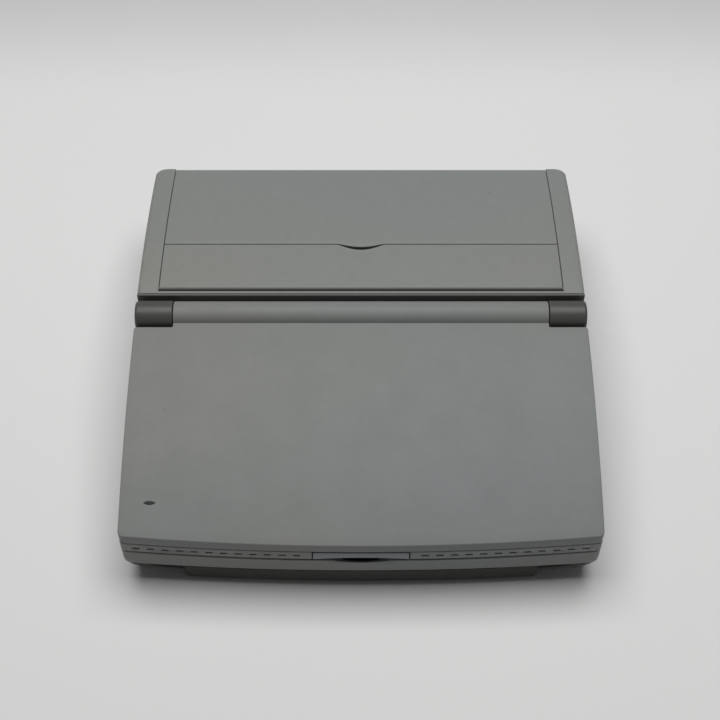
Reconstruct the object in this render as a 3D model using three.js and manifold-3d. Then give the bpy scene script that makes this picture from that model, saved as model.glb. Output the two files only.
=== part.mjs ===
import * as THREE from 'three';
import { mergeVertices } from 'three/addons/utils/BufferGeometryUtils.js';
import Module from 'manifold-3d';

const wasm = await Module();
wasm.setup();

// Portable electronic word processor, closed for carrying, in millimetres.
// X runs to the right, Y to the rear and Z up. The origin is on the table, under the middle.

// Driving dimensions of the whole machine
const width = 330;
const depth = 338;
const hingeAbovePlaten = 25;
const housingDepth = 161;
const lidFrontDepth = 16.34;
const housingRearDrop = 16.32;
const archApexBehindHinge = 22;
const lidRise = 4.8;
const housingRise = 8.1;
const frontBowRadius = 2090;
const wall = 2.5;
const fit = 0.3;
const overrun = 6;

// Heights of the joints between the cases, and how the sides lean in below the deck
const footHeight = 3.5;
const splitHeight = 23;
const deckAboveDrive = 8.5;
const deckDropAtHinge = 16;
const deckReachToHinge = 14;
const lidCorner = 7;
const baseCorner = 14;
const rearCorner = 9;
const upperLean = 1.5;
const lowerLean = 1.9;
const bowlRadius = 13;
const housingEdge = 1.5;

// Openings and screw wells in the underside and the rear
const ventPitch = 6;
const ventWidth = 2.4;
const ventLength = 30;
const ventHalfCount = 3;
const batteryVentGap = 18;
const boardVentInset = 40;
const rearVentPitch = 4.5;
const rearVentWidth = 1.8;
const rearVentHeight = 13;
const rearVentAboveSplit = 10;
const rearVentCount = 10;
const screwFromSide = 22;
const screwRadius = 3.2;
const screwDepth = 1.2;
const gripWidth = 26;
const gripGroove = 1.6;
const gripPitch = 4;
const gripDepth = 0.7;

// Lid: skirt of the shell, band of the bezel, hinge barrel
const bandHeight = 8.6;
const seamGap = 1.0;
const partingGap = 0.8;
const lidWall = 2.2;
const lidEdge = 1.5;
const barrelRadius = 10.7;
const capLength = 28;
const capRadius = 12;
const capGap = 1;
const capEdge = 2.2;
const capClearance = 1.3;
const capBackGap = 1.4;
const trimThickness = 1.6;
const trimBelowTop = 0.5;
const clutchRadius = 3.7;
const clutchReachIn = 18;
const clutchReachOut = 16;
const slotPitch = 10;
const slotLength = 5;
const slotHeight = 1.6;
const slotDepth = 1.2;
const slotFromSide = 11.1;
const slotFromLatch = 10.7;

// Latch bar in the front of the lid
const latchHalf = 33.2;
const latchThickness = 4;
const latchArch = 2.2;
const latchBarDepth = 5.7;
const latchBayDepth = 10;
const latchPinRadius = 1;
const hookHalfSpan = 24;
const hookWidth = 5;
const hookReach = 5;
const hookThickness = 2;
const scoopHalf = 20;
const scoopDepth = 7;
const scoopDrop = 3.2;

// Display in the lid
const displayFromSide = 53;
const displayFromFront = 32;
const displayFromHinge = 21.6;
const displayThickness = 5;
const displayLap = 4;
const windowThickness = 1.2;
const bezelRecess = 6;
const bezelRim = 8;
const bezelFrontWall = 5.5;
const inverterLength = 12;
const inverterThickness = 2.6;
const bumperSide = 6;
const lensLength = 8.7;
const lensWidth = 2.8;
const lensFromSide = 20.7;
const lensFromFront = 28.6;

// Printer housing and its two covers
const sideBorder = 15.3;
const panelGap = 0.5;
const coverThickness = 2.6;
const rimWidth = 2.3;
const coverGap = 1.5;
const splitFromHinge = 65.4;
const splitGap = 0.6;
const ledge = 5.5;
const supportBarrel = 4.3;
const coverBarrel = 2.4;
const studRadius = 1.4;
const studLength = 2.2;
const tabHalf = 17.5;
const tabDepth = 3.2;
const tabFingerGap = 2.4;
const dishLength = 13;
const dishDepth = 1.3;

// Keyboard
const keyboardFromSide = 27;
const keyboardFromHinge = 37.4;
const keyGap = 1.4;
const keyTaper = 2.2;
const keyDish = 0.5;
const widestDished = 30;
const keyHeight = 9.9;
const keyAboveDeck = 2.8;
const keyFloat = 3.5;
const stemSide = 6;
const stemLength = 8.4;
const plateThickness = 2;
const plateMargin = 5;
const wellFront = 17;
const wellMargin = 1.6;

// Rubber feet
const footFromFront = 34;
const footFromRear = 28;
const footFromSide = 30;
const footRadius = 7;
const footEdge = 1;

// Carrying handle
const handleFromSide = 41;
const handleHeight = 14.5;
const handleBottom = 3.1;
const handleDepth = 9;
const handleSetback = 2.4;
const handleTaper = 2.6;
const handleArm = 10;
const handleArmHeight = 7;
const handleArmLength = 70;
const handleArmInset = 3;
const handlePocketGap = 1;

// Drive, boards and battery
const driveWidth = 96;
const driveLength = 126;
const driveHeight = 17;
const driveBottom = 14;
const driveFromFront = 28;
const driveSlotHeight = 5;
const driveSlotDepth = 60;
const driveSlotMargin = 3;
const driveFaceInset = 2.8;
const driveBossShares = [0.15, 0.75];
const driveButtonWidth = 9;
const driveButtonHeight = 4.4;
const driveButtonDepth = 7;
const driveButtonTravel = 3;
const boardThickness = 1.6;
const bossRadius = 3.5;
const batteryLength = 110;
const batteryWidth = 78;
const batteryHeight = 17;
const batteryFromSide = 17;
const batteryFromRear = 49;
const batteryLip = 3;
const boardFromSide = 15;
const boardFromDrive = 6.2;
const boardFromFront = 37;
const boardFromHinge = 26;
const boardBottom = 16.8;
const powerBoardFromSide = 21;
const powerBoardFromBattery = 40;
const powerBoardFromRear = 31;
const powerBoardLength = 94;
const powerBoardBottom = 11;
const chipColumnShares = [0.11, 0.265, 0.42, 0.58, 0.735, 0.89];
const chipRowShares = [0.7, 0.32];
const chipSide = 20;
const chipHeight = 3.2;
const canShares = [0.3, 0.5, 0.7];
const canRadius = 4;
const canHeight = 9;
const inletFromSide = 47;
const inletHalf = 6.5;
const inletTop = 27;
const inletBottom = 14;
const inletLength = 14;
const inletBore = 3.2;
const switchFromSide = 43;
const switchFromHinge = 18.6;
const switchLength = 9;
const switchWidth = 4;
const switchTravel = 4;
const slotClearance = 1;

// Printer mechanism
const chassisFromSide = 20.5;
const sheetSteel = 1.5;
const chassisAboveBattery = 4;
const chassisDepth = 91.5;
const chassisFromRear = 18;
const chassisAbovePlaten = 12;
const platenFromRear = 57;
const platenAboveChassis = 33;
const platenRadius = 9.5;
const platenFromCheek = 13.5;
const platenShaftRadius = 3;
const gearModule = 1;
const platenTeeth = 30;
const idlerTeeth = 24;
const pinionTeeth = 12;
const gearWidth = 4;
const gearGap = 1;
const shaftOverhang = 2;
const pinOverhang = 1;
const idlerAngle = -Math.PI / 4;
const pinionAngle = Math.PI * 0.322;
const feedMotorRadius = 11.5;
const feedMotorLength = 10;
const guideRadius = 4;
const guideToPlaten = 32;
const guideBelowPlaten = 16;
const carriageWidth = 44;
const carriageFromCheek = 32.5;
const carriageBeforeGuide = 10;
const carriageBehindGuide = 15;
const carriageBelowGuide = 8;
const carriageAboveGuide = 11;
const headWidth = 12;
const headAbovePlaten = 8;
const headGap = 0.8;
const cassetteWidth = 66;
const cassetteHeight = 9;
const cassetteOverhang = 6;
const hubShares = [0.28, 0.72];
const hubRadius = 6;
const pulleyRadius = 8;
const pulleyWidth = 6;
const pulleyFromCheek = 14.5;
const pulleyPinRadius = 2;
const beltThickness = 1.2;
const beltWidth = 5;
const beltFromChassis = 2;
const carriageMotorRadius = 13;
const carriageMotorLength = 22;
const bailRadius = 2.2;
const bailRollerRadius = 4;
const bailRollerWidth = 22;
const bailRollerPlace = 46;
const bailRollerShares = [-1.5, -0.5, 0.5, 1.5];
const bailLever = 3.5;
const bailPivotBehindPlaten = 26;
const bailPivotAbovePlaten = 4;
const chuteGap = 2;
const chuteThickness = 1.5;
const bailReach = platenRadius + bailRollerRadius + fit;
const chuteStartAngle = Math.PI * 1.32;
const chuteEndAngle = Math.PI * 1.9;
const bailAngle = Math.PI * 0.28;

const frontY = -depth / 2;
const rearY = depth / 2;
const hingeY = rearY - housingDepth;
const lidReach = depth - housingDepth;
const apexY = hingeY + archApexBehindHinge;

// Heights stacked on each other: battery, printer chassis, platen and hinge; drive and keyboard deck
const batteryTop = footHeight + wall + batteryHeight;
const chassisBottom = batteryTop + chassisAboveBattery;
const platenZ = chassisBottom + platenAboveChassis;
const hingeHeight = platenZ + hingeAbovePlaten;
const chassisTop = platenZ + chassisAbovePlaten;
const guideZ = platenZ - guideBelowPlaten;
const carriageBottom = guideZ - carriageBelowGuide;
const carriageTop = guideZ + carriageAboveGuide;
const headTop = platenZ + headAbovePlaten;
const bailPivotZ = platenZ + bailPivotAbovePlaten;
const deckFrontHeight = driveBottom + driveHeight + deckAboveDrive;

// The lid and the housing are arched over the same line; each arch falls by a given drop at its far edge.
function archOver(rise, reach, drop) {
  return { rise, radius: (reach ** 2 + drop ** 2) / (2 * drop) };
}

const deckRise = hingeHeight - deckDropAtHinge - deckFrontHeight;
const deckRun = lidReach - deckReachToHinge;
const deckAngle = Math.atan2(deckRise, deckRun);
const deckLength = Math.hypot(deckRise, deckRun);
const lidArch = archOver(lidRise, apexY - frontY, hingeHeight + lidRise - deckFrontHeight - lidFrontDepth);
const housingArch = archOver(housingRise, rearY - apexY, housingRearDrop);

// Places across the machine, worked out from its sides
const hingeBackClearance = capRadius + capBackGap;
const barrelHalf = width / 2 - capLength;
const panelHalf = width / 2 - sideBorder;
const slotFirst = latchHalf + slotFromLatch;
const slotCount = Math.floor((width / 2 - slotFromSide - slotFirst) / slotPitch + 1);
const displayWidth = width - 2 * displayFromSide;
const handleHalf = width / 2 - handleFromSide;
const driveRight = width / 2 - driveFaceInset;
const batteryX = batteryFromSide - width / 2;
const inletX = width / 2 - inletFromSide;
const switchX = width / 2 - switchFromSide;
const chassisHalf = width / 2 - chassisFromSide;
const platenHalf = chassisHalf - platenFromCheek;
const pulleyPlace = chassisHalf - pulleyFromCheek;
const carriageHome = carriageFromCheek - chassisHalf;

// Places from front to rear, worked out from the front edge, the hinge and the rear edge
const displayLength = deckLength - displayFromFront - displayFromHinge;
const displayCentre = displayFromFront + displayLength / 2;
const switchAlongDeck = deckLength - switchFromHinge;
const driveFront = frontY + driveFromFront;
const batteryY = rearY - batteryFromRear - batteryWidth;
const platenY = rearY - platenFromRear;
const guideY = platenY - guideToPlaten;
const chassisRear = rearY - chassisFromRear;
const chassisFront = chassisRear - chassisDepth;
const carriageFront = guideY - carriageBeforeGuide;
const carriageRear = guideY + carriageBehindGuide;
const cassetteFront = carriageFront - cassetteOverhang;
const beltFront = chassisFront + beltFromChassis;
const bailPivotY = platenY + bailPivotBehindPlaten;
const boardBox = {
  x0: boardFromSide - width / 2,
  x1: driveRight - driveLength - boardFromDrive,
  y0: frontY + boardFromFront,
  y1: hingeY - boardFromHinge,
  z: boardBottom,
};
const powerBoardBox = {
  x0: batteryX + batteryLength + powerBoardFromBattery,
  x1: width / 2 - powerBoardFromSide,
  y0: rearY - powerBoardFromRear - powerBoardLength,
  y1: rearY - powerBoardFromRear,
  z: powerBoardBottom,
};

const lightGrey = new THREE.MeshStandardMaterial({ color: 0x7f827d, roughness: 0.62, metalness: 0 });
const latchGrey = new THREE.MeshStandardMaterial({ color: 0x868c8e, roughness: 0.5, metalness: 0 });
const charcoal = new THREE.MeshStandardMaterial({ color: 0x3b3935, roughness: 0.6, metalness: 0 });
const rubber = new THREE.MeshStandardMaterial({ color: 0x1d1d1e, roughness: 0.9, metalness: 0 });
const keyGrey = new THREE.MeshStandardMaterial({ color: 0xb9b8ae, roughness: 0.6, metalness: 0 });
const steel = new THREE.MeshStandardMaterial({ color: 0xa9adb0, roughness: 0.35, metalness: 1 });
const boardGreen = new THREE.MeshStandardMaterial({ color: 0x24523a, roughness: 0.5, metalness: 0 });
const blackPlastic = new THREE.MeshStandardMaterial({ color: 0x222324, roughness: 0.55, metalness: 0 });
const gearWhite = new THREE.MeshStandardMaterial({ color: 0xd8d6cc, roughness: 0.5, metalness: 0 });
const displayGlass = new THREE.MeshStandardMaterial({ color: 0x5f6b5a, roughness: 0.15, metalness: 0 });
const lensDark = new THREE.MeshStandardMaterial({ color: 0x2a2d2b, roughness: 0.2, metalness: 0 });

const machine = new THREE.Group();
machine.name = 'word_processor';

// Turn a closed three.js geometry into a solid that can be cut and joined.
function solid(geometry) {
  const bare = geometry.index ? geometry.toNonIndexed() : geometry.clone();
  bare.deleteAttribute('normal');
  bare.deleteAttribute('uv');
  const merged = mergeVertices(bare, 1e-4);
  return new wasm.Manifold(new wasm.Mesh({
    numProp: 3,
    vertProperties: new Float32Array(merged.attributes.position.array),
    triVerts: new Uint32Array(merged.index.array),
  }));
}

// Add a finished solid to a group as a named mesh.
function addPart(name, body, material, group = machine) {
  const mesh = body.getMesh();
  const geometry = new THREE.BufferGeometry();
  geometry.setAttribute('position', new THREE.BufferAttribute(new Float32Array(mesh.vertProperties), 3));
  geometry.setIndex(new THREE.BufferAttribute(new Uint32Array(mesh.triVerts), 1));
  geometry.computeVertexNormals();
  const part = new THREE.Mesh(geometry, material);
  part.name = name;
  group.add(part);
  return part;
}

const joined = (bodies) => bodies.reduce((sum, body) => sum.add(body));
const cutAway = (body, cutters) => cutters.reduce((rest, cutter) => rest.subtract(cutter), body);

const span = (a, b) => [Math.min(a, b), Math.max(a, b)];

function block(x0, x1, y0, y1, z0, z1) {
  const box = new THREE.BoxGeometry(x1 - x0, y1 - y0, z1 - z0);
  return solid(box.translate((x0 + x1) / 2, (y0 + y1) / 2, (z0 + z1) / 2));
}

// A profile drawn in Y and Z, carried along X.
function prismX(points, x0, x1) {
  const shape = new THREE.Shape(points.map(([y, z]) => new THREE.Vector2(y, z)));
  const body = new THREE.ExtrudeGeometry(shape, { depth: x1 - x0, bevelEnabled: false });
  const turn = new THREE.Matrix4().makeBasis(
    new THREE.Vector3(0, 1, 0), new THREE.Vector3(0, 0, 1), new THREE.Vector3(1, 0, 0));
  return solid(body.applyMatrix4(turn).translate(x0, 0, 0));
}

// A profile drawn in X and Z, carried along Y.
function prismY(points, y0, y1) {
  const shape = new THREE.Shape(points.map(([x, z]) => new THREE.Vector2(x, z)));
  const body = new THREE.ExtrudeGeometry(shape, { depth: y1 - y0, bevelEnabled: false });
  const turn = new THREE.Matrix4().makeBasis(
    new THREE.Vector3(1, 0, 0), new THREE.Vector3(0, 0, 1), new THREE.Vector3(0, -1, 0));
  return solid(body.applyMatrix4(turn).translate(0, y1, 0));
}

// An outline drawn in X and Y, carried up Z.
function prismZ(points, z0, z1) {
  const shape = new THREE.Shape(points.map(([x, y]) => new THREE.Vector2(x, y)));
  const body = new THREE.ExtrudeGeometry(shape, { depth: z1 - z0, bevelEnabled: false });
  return solid(body.translate(0, 0, z0));
}

function rodX(radius, x0, x1, y, z, sides = 20) {
  const rod = new THREE.CylinderGeometry(radius, radius, x1 - x0, sides);
  return solid(rod.rotateZ(-Math.PI / 2).translate((x0 + x1) / 2, y, z));
}

function rodY(radius, y0, y1, x, z, sides = 20) {
  const rod = new THREE.CylinderGeometry(radius, radius, y1 - y0, sides);
  return solid(rod.translate(x, (y0 + y1) / 2, z));
}

function rodZ(radius, z0, z1, x, y, sides = 12) {
  const rod = new THREE.CylinderGeometry(radius, radius, z1 - z0, sides);
  return solid(rod.rotateX(Math.PI / 2).translate(x, y, (z0 + z1) / 2));
}

// Join outlines of equal point count, one above the other, into a closed body.
function loft(sections) {
  const count = sections[0].points.length;
  const corners = sections.flatMap(({ z, points }) => points.flatMap(([x, y]) => [x, y, z]));
  const faces = [];
  const cap = THREE.ShapeUtils.triangulateShape(
    sections[0].points.map(([x, y]) => new THREE.Vector2(x, y)), []);
  const top = count * (sections.length - 1);
  cap.forEach(([a, b, c]) => faces.push(a, c, b, top + a, top + b, top + c));
  for (let level = 0; level < sections.length - 1; level += 1) {
    for (let k = 0; k < count; k += 1) {
      const a = level * count + k;
      const b = level * count + (k + 1) % count;
      faces.push(a, b, b + count, a, b + count, a + count);
    }
  }
  const geometry = new THREE.BufferGeometry();
  geometry.setAttribute('position', new THREE.Float32BufferAttribute(corners, 3));
  geometry.setIndex(faces);
  return solid(geometry);
}

const bow = (x) => frontBowRadius - Math.sqrt(frontBowRadius ** 2 - x ** 2);

function arcPoints(cx, cy, radius, from, to, steps) {
  return Array.from({ length: steps + 1 }, (_, k) => {
    const angle = from + (to - from) * k / steps;
    return [cx + radius * Math.cos(angle), cy + radius * Math.sin(angle)];
  });
}

// Outline seen from above, anticlockwise from the left rear corner: bowed front edge, rounded corners and
// a straight rear edge, which closes it.
function planOutline(half, front, rear, frontRadius, rearRadius) {
  const bowSteps = 12;
  const cornerSteps = 5;
  const turn = half - frontRadius;
  const cornerY = front + bow(turn) + frontRadius;
  const bowed = Array.from({ length: bowSteps - 1 }, (_, k) => {
    const x = turn * (2 * (k + 1) / bowSteps - 1);
    return [x, front + bow(x)];
  });
  return [
    ...arcPoints(rearRadius - half, rear - rearRadius, rearRadius, Math.PI / 2, Math.PI, cornerSteps),
    ...arcPoints(-turn, cornerY, frontRadius, Math.PI, Math.PI * 1.5, cornerSteps),
    ...bowed,
    ...arcPoints(turn, cornerY, frontRadius, -Math.PI / 2, 0, cornerSteps),
    ...arcPoints(half - rearRadius, rear - rearRadius, rearRadius, 0, Math.PI / 2, cornerSteps),
  ];
}

const caseOutline = (inset, frontRadius = baseCorner, rearRadius = rearCorner) => planOutline(
  width / 2 - inset, frontY + inset, rearY - inset, frontRadius, rearRadius);

// Height of the arched top, and of the sloping deck, at a distance from the front.
const archHeight = (y, { rise, radius }) => hingeHeight + rise - radius
  + Math.sqrt(radius ** 2 - (y - apexY) ** 2);
const deckHeight = (y) => deckFrontHeight + (y - frontY) * Math.tan(deckAngle);

function archPoints(y0, y1, arch, drop, steps) {
  return Array.from({ length: steps + 1 }, (_, k) => {
    const y = y0 + (y1 - y0) * k / steps;
    return [y, archHeight(y, arch) - drop];
  });
}

// More points on an open line, so that none is further from the next than a spacing.
function spaced(line, spacing) {
  return line.flatMap(([x, y], k) => {
    if (k === 0) return [[x, y]];
    const [x0, y0] = line[k - 1];
    const count = Math.ceil(Math.hypot(x - x0, y - y0) / spacing);
    return Array.from({ length: count }, (_, i) => {
      const share = (i + 1) / count;
      return [x0 + (x - x0) * share, y0 + (y - y0) * share];
    });
  });
}

// A cutter that rounds the edge between an arched top and the side below it, along a line that runs
// anticlockwise round the body. Each point of its section is moved out from the line and up from the arch.
function edgeCutter(line, arch, radius) {
  const arcSteps = 3;
  const section = [[overrun, overrun], [-radius, overrun],
    ...arcPoints(-radius, -radius, radius, Math.PI / 2, 0, arcSteps), [overrun, -radius]];
  const path = spaced(line, 2 * baseCorner);
  const corners = path.flatMap(([x, y], k) => {
    const [x0, y0] = path[Math.max(k - 1, 0)];
    const [x1, y1] = path[Math.min(k + 1, path.length - 1)];
    const length = Math.hypot(x1 - x0, y1 - y0);
    return section.flatMap(([out, up]) => {
      const outY = y - out * (x1 - x0) / length;
      return [x + out * (y1 - y0) / length, outY, archHeight(outY, arch) + up];
    });
  });
  const count = section.length;
  const last = count * (path.length - 1);
  const faces = THREE.ShapeUtils.triangulateShape(section.map(([out, up]) => new THREE.Vector2(out, up)), [])
    .flatMap(([a, b, c]) => [a, b, c, last + a, last + c, last + b]);
  for (let k = 0; k < path.length - 1; k += 1) {
    for (let j = 0; j < count; j += 1) {
      const a = k * count + j;
      const b = k * count + (j + 1) % count;
      faces.push(b, a, a + count, b, a + count, b + count);
    }
  }
  const geometry = new THREE.BufferGeometry();
  geometry.setAttribute('position', new THREE.Float32BufferAttribute(corners, 3));
  geometry.setIndex(faces);
  return solid(geometry);
}

// The deck's own axes: X across, Y up the slope from the front edge, Z square to the deck.
const deckFrame = new THREE.Group();
deckFrame.position.set(0, frontY, deckFrontHeight);
deckFrame.rotation.x = deckAngle;
deckFrame.updateMatrix();
machine.add(deckFrame);
const onDeck = (body) => body.transform([...deckFrame.matrix.elements]);

// Rows of the keyboard, in key widths, with the names of the keys that are pieces of their own
const keyRows = [
  { shares: [1.5, 1.5, 1.5, 3, 3, 1.5, 1.5, 1.5], names: { 3: 'key_thumb_left', 4: 'key_thumb_right' } },
  { shares: [2.25, 1, 1, 1, 1, 1, 1, 1, 1, 1, 1, 2.75], names: { 0: 'key_shift_left', 11: 'key_shift_right' } },
  { shares: [1.75, 1, 1, 1, 1, 1, 1, 1, 1, 1, 1, 1, 2.25], names: { 12: 'key_return' } },
  { shares: [1.5, 1, 1, 1, 1, 1, 1, 1, 1, 1, 1, 1, 1, 1.5], names: {} },
  { shares: [1, 1, 1, 1, 1, 1, 1, 1, 1, 1, 1, 1, 1, 1, 1], names: {} },
  { shares: [1.5, 1.2, 1.2, 1.2, 1.2, 1.2, 1.2, 1.2, 1.2, 1.2, 1.2, 1.5], names: {} },
];
const rowShares = 15;
const fieldHalf = width / 2 - keyboardFromSide;
const keyPitch = 2 * fieldHalf / rowShares;
const fieldDepth = deckLength - wellFront - 2 * wellMargin - keyboardFromHinge;
const rowPitch = fieldDepth / keyRows.length;
const plateTop = keyAboveDeck - keyHeight;

const keys = keyRows.flatMap(({ shares, names }, row) => {
  let edge = -fieldHalf;
  return shares.map((share, column) => {
    const x = edge;
    edge += share * keyPitch;
    return {
      name: names[column],
      x0: x + keyGap / 2,
      x1: edge - keyGap / 2,
      y0: wellFront + wellMargin + row * rowPitch + keyGap / 2,
      y1: wellFront + wellMargin + (row + 1) * rowPitch - keyGap / 2,
    };
  });
});

// A keycap: a rectangle that draws in towards its top, more at the rear than at the front.
function keycap({ x0, x1, y0, y1 }, base, top) {
  const corner = (dx, front, rear) => [
    [x0 + dx, y0 + front], [x1 - dx, y0 + front], [x1 - dx, y1 - rear], [x0 + dx, y1 - rear]];
  return loft([
    { z: base, points: corner(0, 0, 0) },
    { z: top, points: corner(keyTaper, keyTaper / 2, keyTaper) },
  ]);
}

// The hollow in the top of a keycap: part of a cylinder that runs up the deck.
function keyDishCut({ x0, x1, y0, y1 }) {
  const half = (x1 - x0) / 2 - keyTaper;
  const radius = (half ** 2 + keyDish ** 2) / (2 * keyDish);
  const sweep = Math.asin(half / radius);
  return prismY(arcPoints((x0 + x1) / 2, keyAboveDeck - keyDish + radius, radius,
    -Math.PI / 2 - sweep, -Math.PI / 2 + sweep, 3), y0, y1);
}

const isDished = ({ x0, x1 }) => x1 - x0 < widestDished;

const stemHole = (key, grow) => {
  const x = (key.x0 + key.x1) / 2;
  const y = (key.y0 + key.y1) / 2;
  const half = stemSide / 2 + grow;
  return { x0: x - half, x1: x + half, y0: y - half, y1: y + half };
};

function keyboard() {
  const wellRear = wellFront + 2 * wellMargin + fieldDepth;
  const plate = block(-fieldHalf - wellMargin - plateMargin, fieldHalf + wellMargin + plateMargin,
    wellFront - plateMargin, wellRear + plateMargin, plateTop - plateThickness, plateTop);
  const still = keys.filter((key) => !key.name);
  const caps = still.map((key) => keycap(key, plateTop - fit, keyAboveDeck));
  const dishes = still.filter(isDished).map(keyDishCut);
  const holes = keys.filter((key) => key.name).map((key) => {
    const hole = stemHole(key, fit);
    return block(hole.x0, hole.x1, hole.y0, hole.y1, plateTop - overrun, plateTop + overrun);
  });
  addPart('keyboard_plate', cutAway(joined([plate, ...caps]), [...holes, ...dishes]), keyGrey, deckFrame);
  keys.filter((key) => key.name).forEach((key) => {
    const stem = stemHole(key, 0);
    const post = block(stem.x0, stem.x1, stem.y0, stem.y1,
      keyAboveDeck - keyHeight + keyFloat - stemLength, plateTop + keyFloat + fit);
    addPart(key.name, keycap(key, plateTop + keyFloat, keyAboveDeck).add(post), keyGrey, deckFrame);
  });
}

// Upper case: keyboard deck, hinge trough and printer housing in one moulding
const housingFront = hingeY + hingeBackClearance + trimThickness;
const troughHeight = hingeHeight - deckDropAtHinge;
const troughFront = hingeY - deckReachToHinge;
const coverFront = housingFront + rimWidth + coverGap;
const supportPivotY = rearY - supportBarrel - panelGap;
const supportPivotZ = archHeight(supportPivotY, housingArch) - supportBarrel;
const coverPivotY = coverFront + coverBarrel;
const coverPivotZ = archHeight(coverPivotY, housingArch) - coverBarrel;

function caseBody(extra, y0, y1, top) {
  const section = (z, inset) => ({ z, points: caseOutline(inset + extra) });
  const side = [
    [y0, splitHeight - (extra ? overrun : 0)],
    [troughFront, splitHeight - (extra ? overrun : 0)],
    [y1, splitHeight - (extra ? overrun : 0)],
    ...archPoints(y1, housingFront + extra, housingArch, top, 10),
    [housingFront + extra, troughHeight - top],
    [troughFront, troughHeight - top],
    [y0, deckHeight(y0) - top],
  ];
  const shell = loft([
    section(splitHeight - overrun, upperLean),
    section(splitHeight, upperLean),
    section((splitHeight + deckFrontHeight) / 2, upperLean / 3),
    section(deckFrontHeight, 0),
    section(hingeHeight + capRadius, 0),
  ]);
  return shell.intersect(prismX(side, -width, width));
}

function upperCase() {
  const outer = caseBody(0, frontY - overrun, rearY + overrun, 0);
  const inner = caseBody(wall, frontY - overrun, rearY + overrun, wall);
  const wellRear = wellFront + 2 * wellMargin + fieldDepth;
  const wellHalf = fieldHalf + wellMargin;
  const curb = onDeck(block(-wellHalf - wall, wellHalf + wall, wellFront - wall, wellRear + wall,
    plateTop + fit, -wall / 2));
  const well = onDeck(block(-wellHalf, wellHalf, wellFront, wellRear, plateTop - overrun, overrun));
  const cheek = (side) => prismX([
    ...archPoints(coverFront - coverGap, rearY - wall / 2, housingArch, coverThickness + 3 * wall, 8),
    ...archPoints(rearY - wall / 2, coverFront - coverGap, housingArch, coverThickness, 8),
  ], ...span(side * panelHalf, side * (panelHalf + wall)));
  const recess = prismX([
    ...archPoints(coverFront - coverGap, rearY + overrun, housingArch, coverThickness + fit, 10),
    ...archPoints(rearY + overrun, coverFront - coverGap, housingArch, -overrun, 10),
  ], -panelHalf, panelHalf);
  const bay = block(ledge - panelHalf, panelHalf - ledge, coverFront + 2 * coverBarrel + fit,
    supportPivotY - supportBarrel - fit, hingeHeight - 4 * supportBarrel, hingeHeight + 4 * supportBarrel);
  const frontGroove = block(-panelHalf, panelHalf, coverFront - coverGap, coverPivotY + coverBarrel + fit,
    coverPivotZ - coverBarrel - fit, hingeHeight + 3 * housingRise);
  const rearNotch = block(-panelHalf, panelHalf, supportPivotY - supportBarrel - fit, rearY + overrun,
    supportPivotZ - supportBarrel - fit, hingeHeight + 3 * housingRise);
  const shelf = block(-panelHalf - wall, panelHalf + wall, supportPivotY - supportBarrel - wall,
    rearY - wall / 2, supportPivotZ - supportBarrel - wall - fit, supportPivotZ - supportBarrel + fit);
  const gutter = block(-panelHalf - wall, panelHalf + wall, housingFront + wall / 2,
    coverPivotY + coverBarrel + wall, coverPivotZ - coverBarrel - wall, coverPivotZ - coverBarrel);
  const studs = [-1, 1].flatMap((side) => {
    const reach = span(side * (panelHalf - wall), side * (panelHalf + studLength));
    return [
      rodX(studRadius + fit, ...reach, supportPivotY, supportPivotZ, 12),
      rodX(studRadius + fit, ...reach, coverPivotY, coverPivotZ, 12),
    ];
  });
  const hookSlots = [-1, 1].map((side) => {
    const x = side * hookHalfSpan;
    return onDeck(block(x - hookWidth / 2 - slotClearance, x + hookWidth / 2 + slotClearance, wall + fit,
      latchBayDepth + wall, -overrun, overrun));
  });
  const switchSlot = onDeck(block(switchX - switchTravel - slotClearance,
    switchX + switchLength + slotClearance, switchAlongDeck - switchWidth / 2 - fit,
    switchAlongDeck + switchWidth / 2 + fit, -overrun, overrun));
  const driveWindow = block(width / 2 - 3 * overrun, width, driveFront - fit, driveFront + driveWidth + fit,
    driveBottom - fit, driveBottom + driveHeight + fit);
  const scoop = scoopCut();
  const inlet = block(inletX - inletHalf - fit, inletX + inletHalf + fit, rearY - 3 * wall, rearY + overrun,
    splitHeight - overrun, inletTop + fit);
  const rearTurn = width / 2 - rearCorner;
  const edge = edgeCutter([
    [width / 2, housingFront - capRadius],
    ...arcPoints(rearTurn, rearY - rearCorner, rearCorner, 0, Math.PI / 2, 5),
    ...arcPoints(-rearTurn, rearY - rearCorner, rearCorner, Math.PI / 2, Math.PI, 5),
    [-width / 2, housingFront - capRadius],
  ], housingArch, housingEdge);
  const rearVents = Array.from({ length: rearVentCount }, (_, k) => {
    const x = -(k + 1) * rearVentPitch;
    const z = splitHeight + rearVentAboveSplit;
    return block(x - rearVentWidth / 2, x + rearVentWidth / 2, rearY - 2 * wall, rearY + overrun,
      z, z + rearVentHeight);
  });
  const body = cutAway(outer, [inner, edge]);
  const ribs = joined([curb, cheek(-1), cheek(1), shelf, gutter]).intersect(outer);
  const cuts = [well, recess, bay, frontGroove, rearNotch, ...studs, ...hookSlots, switchSlot,
    driveWindow, scoop, inlet, ...rearVents];
  addPart('upper_case', cutAway(body.add(ribs), cuts), lightGrey);
}

// A shallow hollow under the latch for a fingertip, deepest in the middle.
function scoopCut() {
  const radius = (scoopHalf ** 2 + scoopDrop ** 2) / (2 * scoopDrop);
  const sweep = Math.asin(scoopHalf / radius);
  const bottom = arcPoints(0, deckFrontHeight - scoopDrop + radius, radius,
    -Math.PI / 2 - sweep, -Math.PI / 2 + sweep, 10);
  return prismY([...bottom, [scoopHalf, deckFrontHeight + overrun], [-scoopHalf, deckFrontHeight + overrun]],
    frontY - overrun, frontY + scoopDepth);
}

// Lower case: dark tray with a bowl-shaped edge, bosses, and the pocket and tunnels of the handle
const bowlShares = [0, 0.1, 0.32, 0.62, 1];

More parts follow.
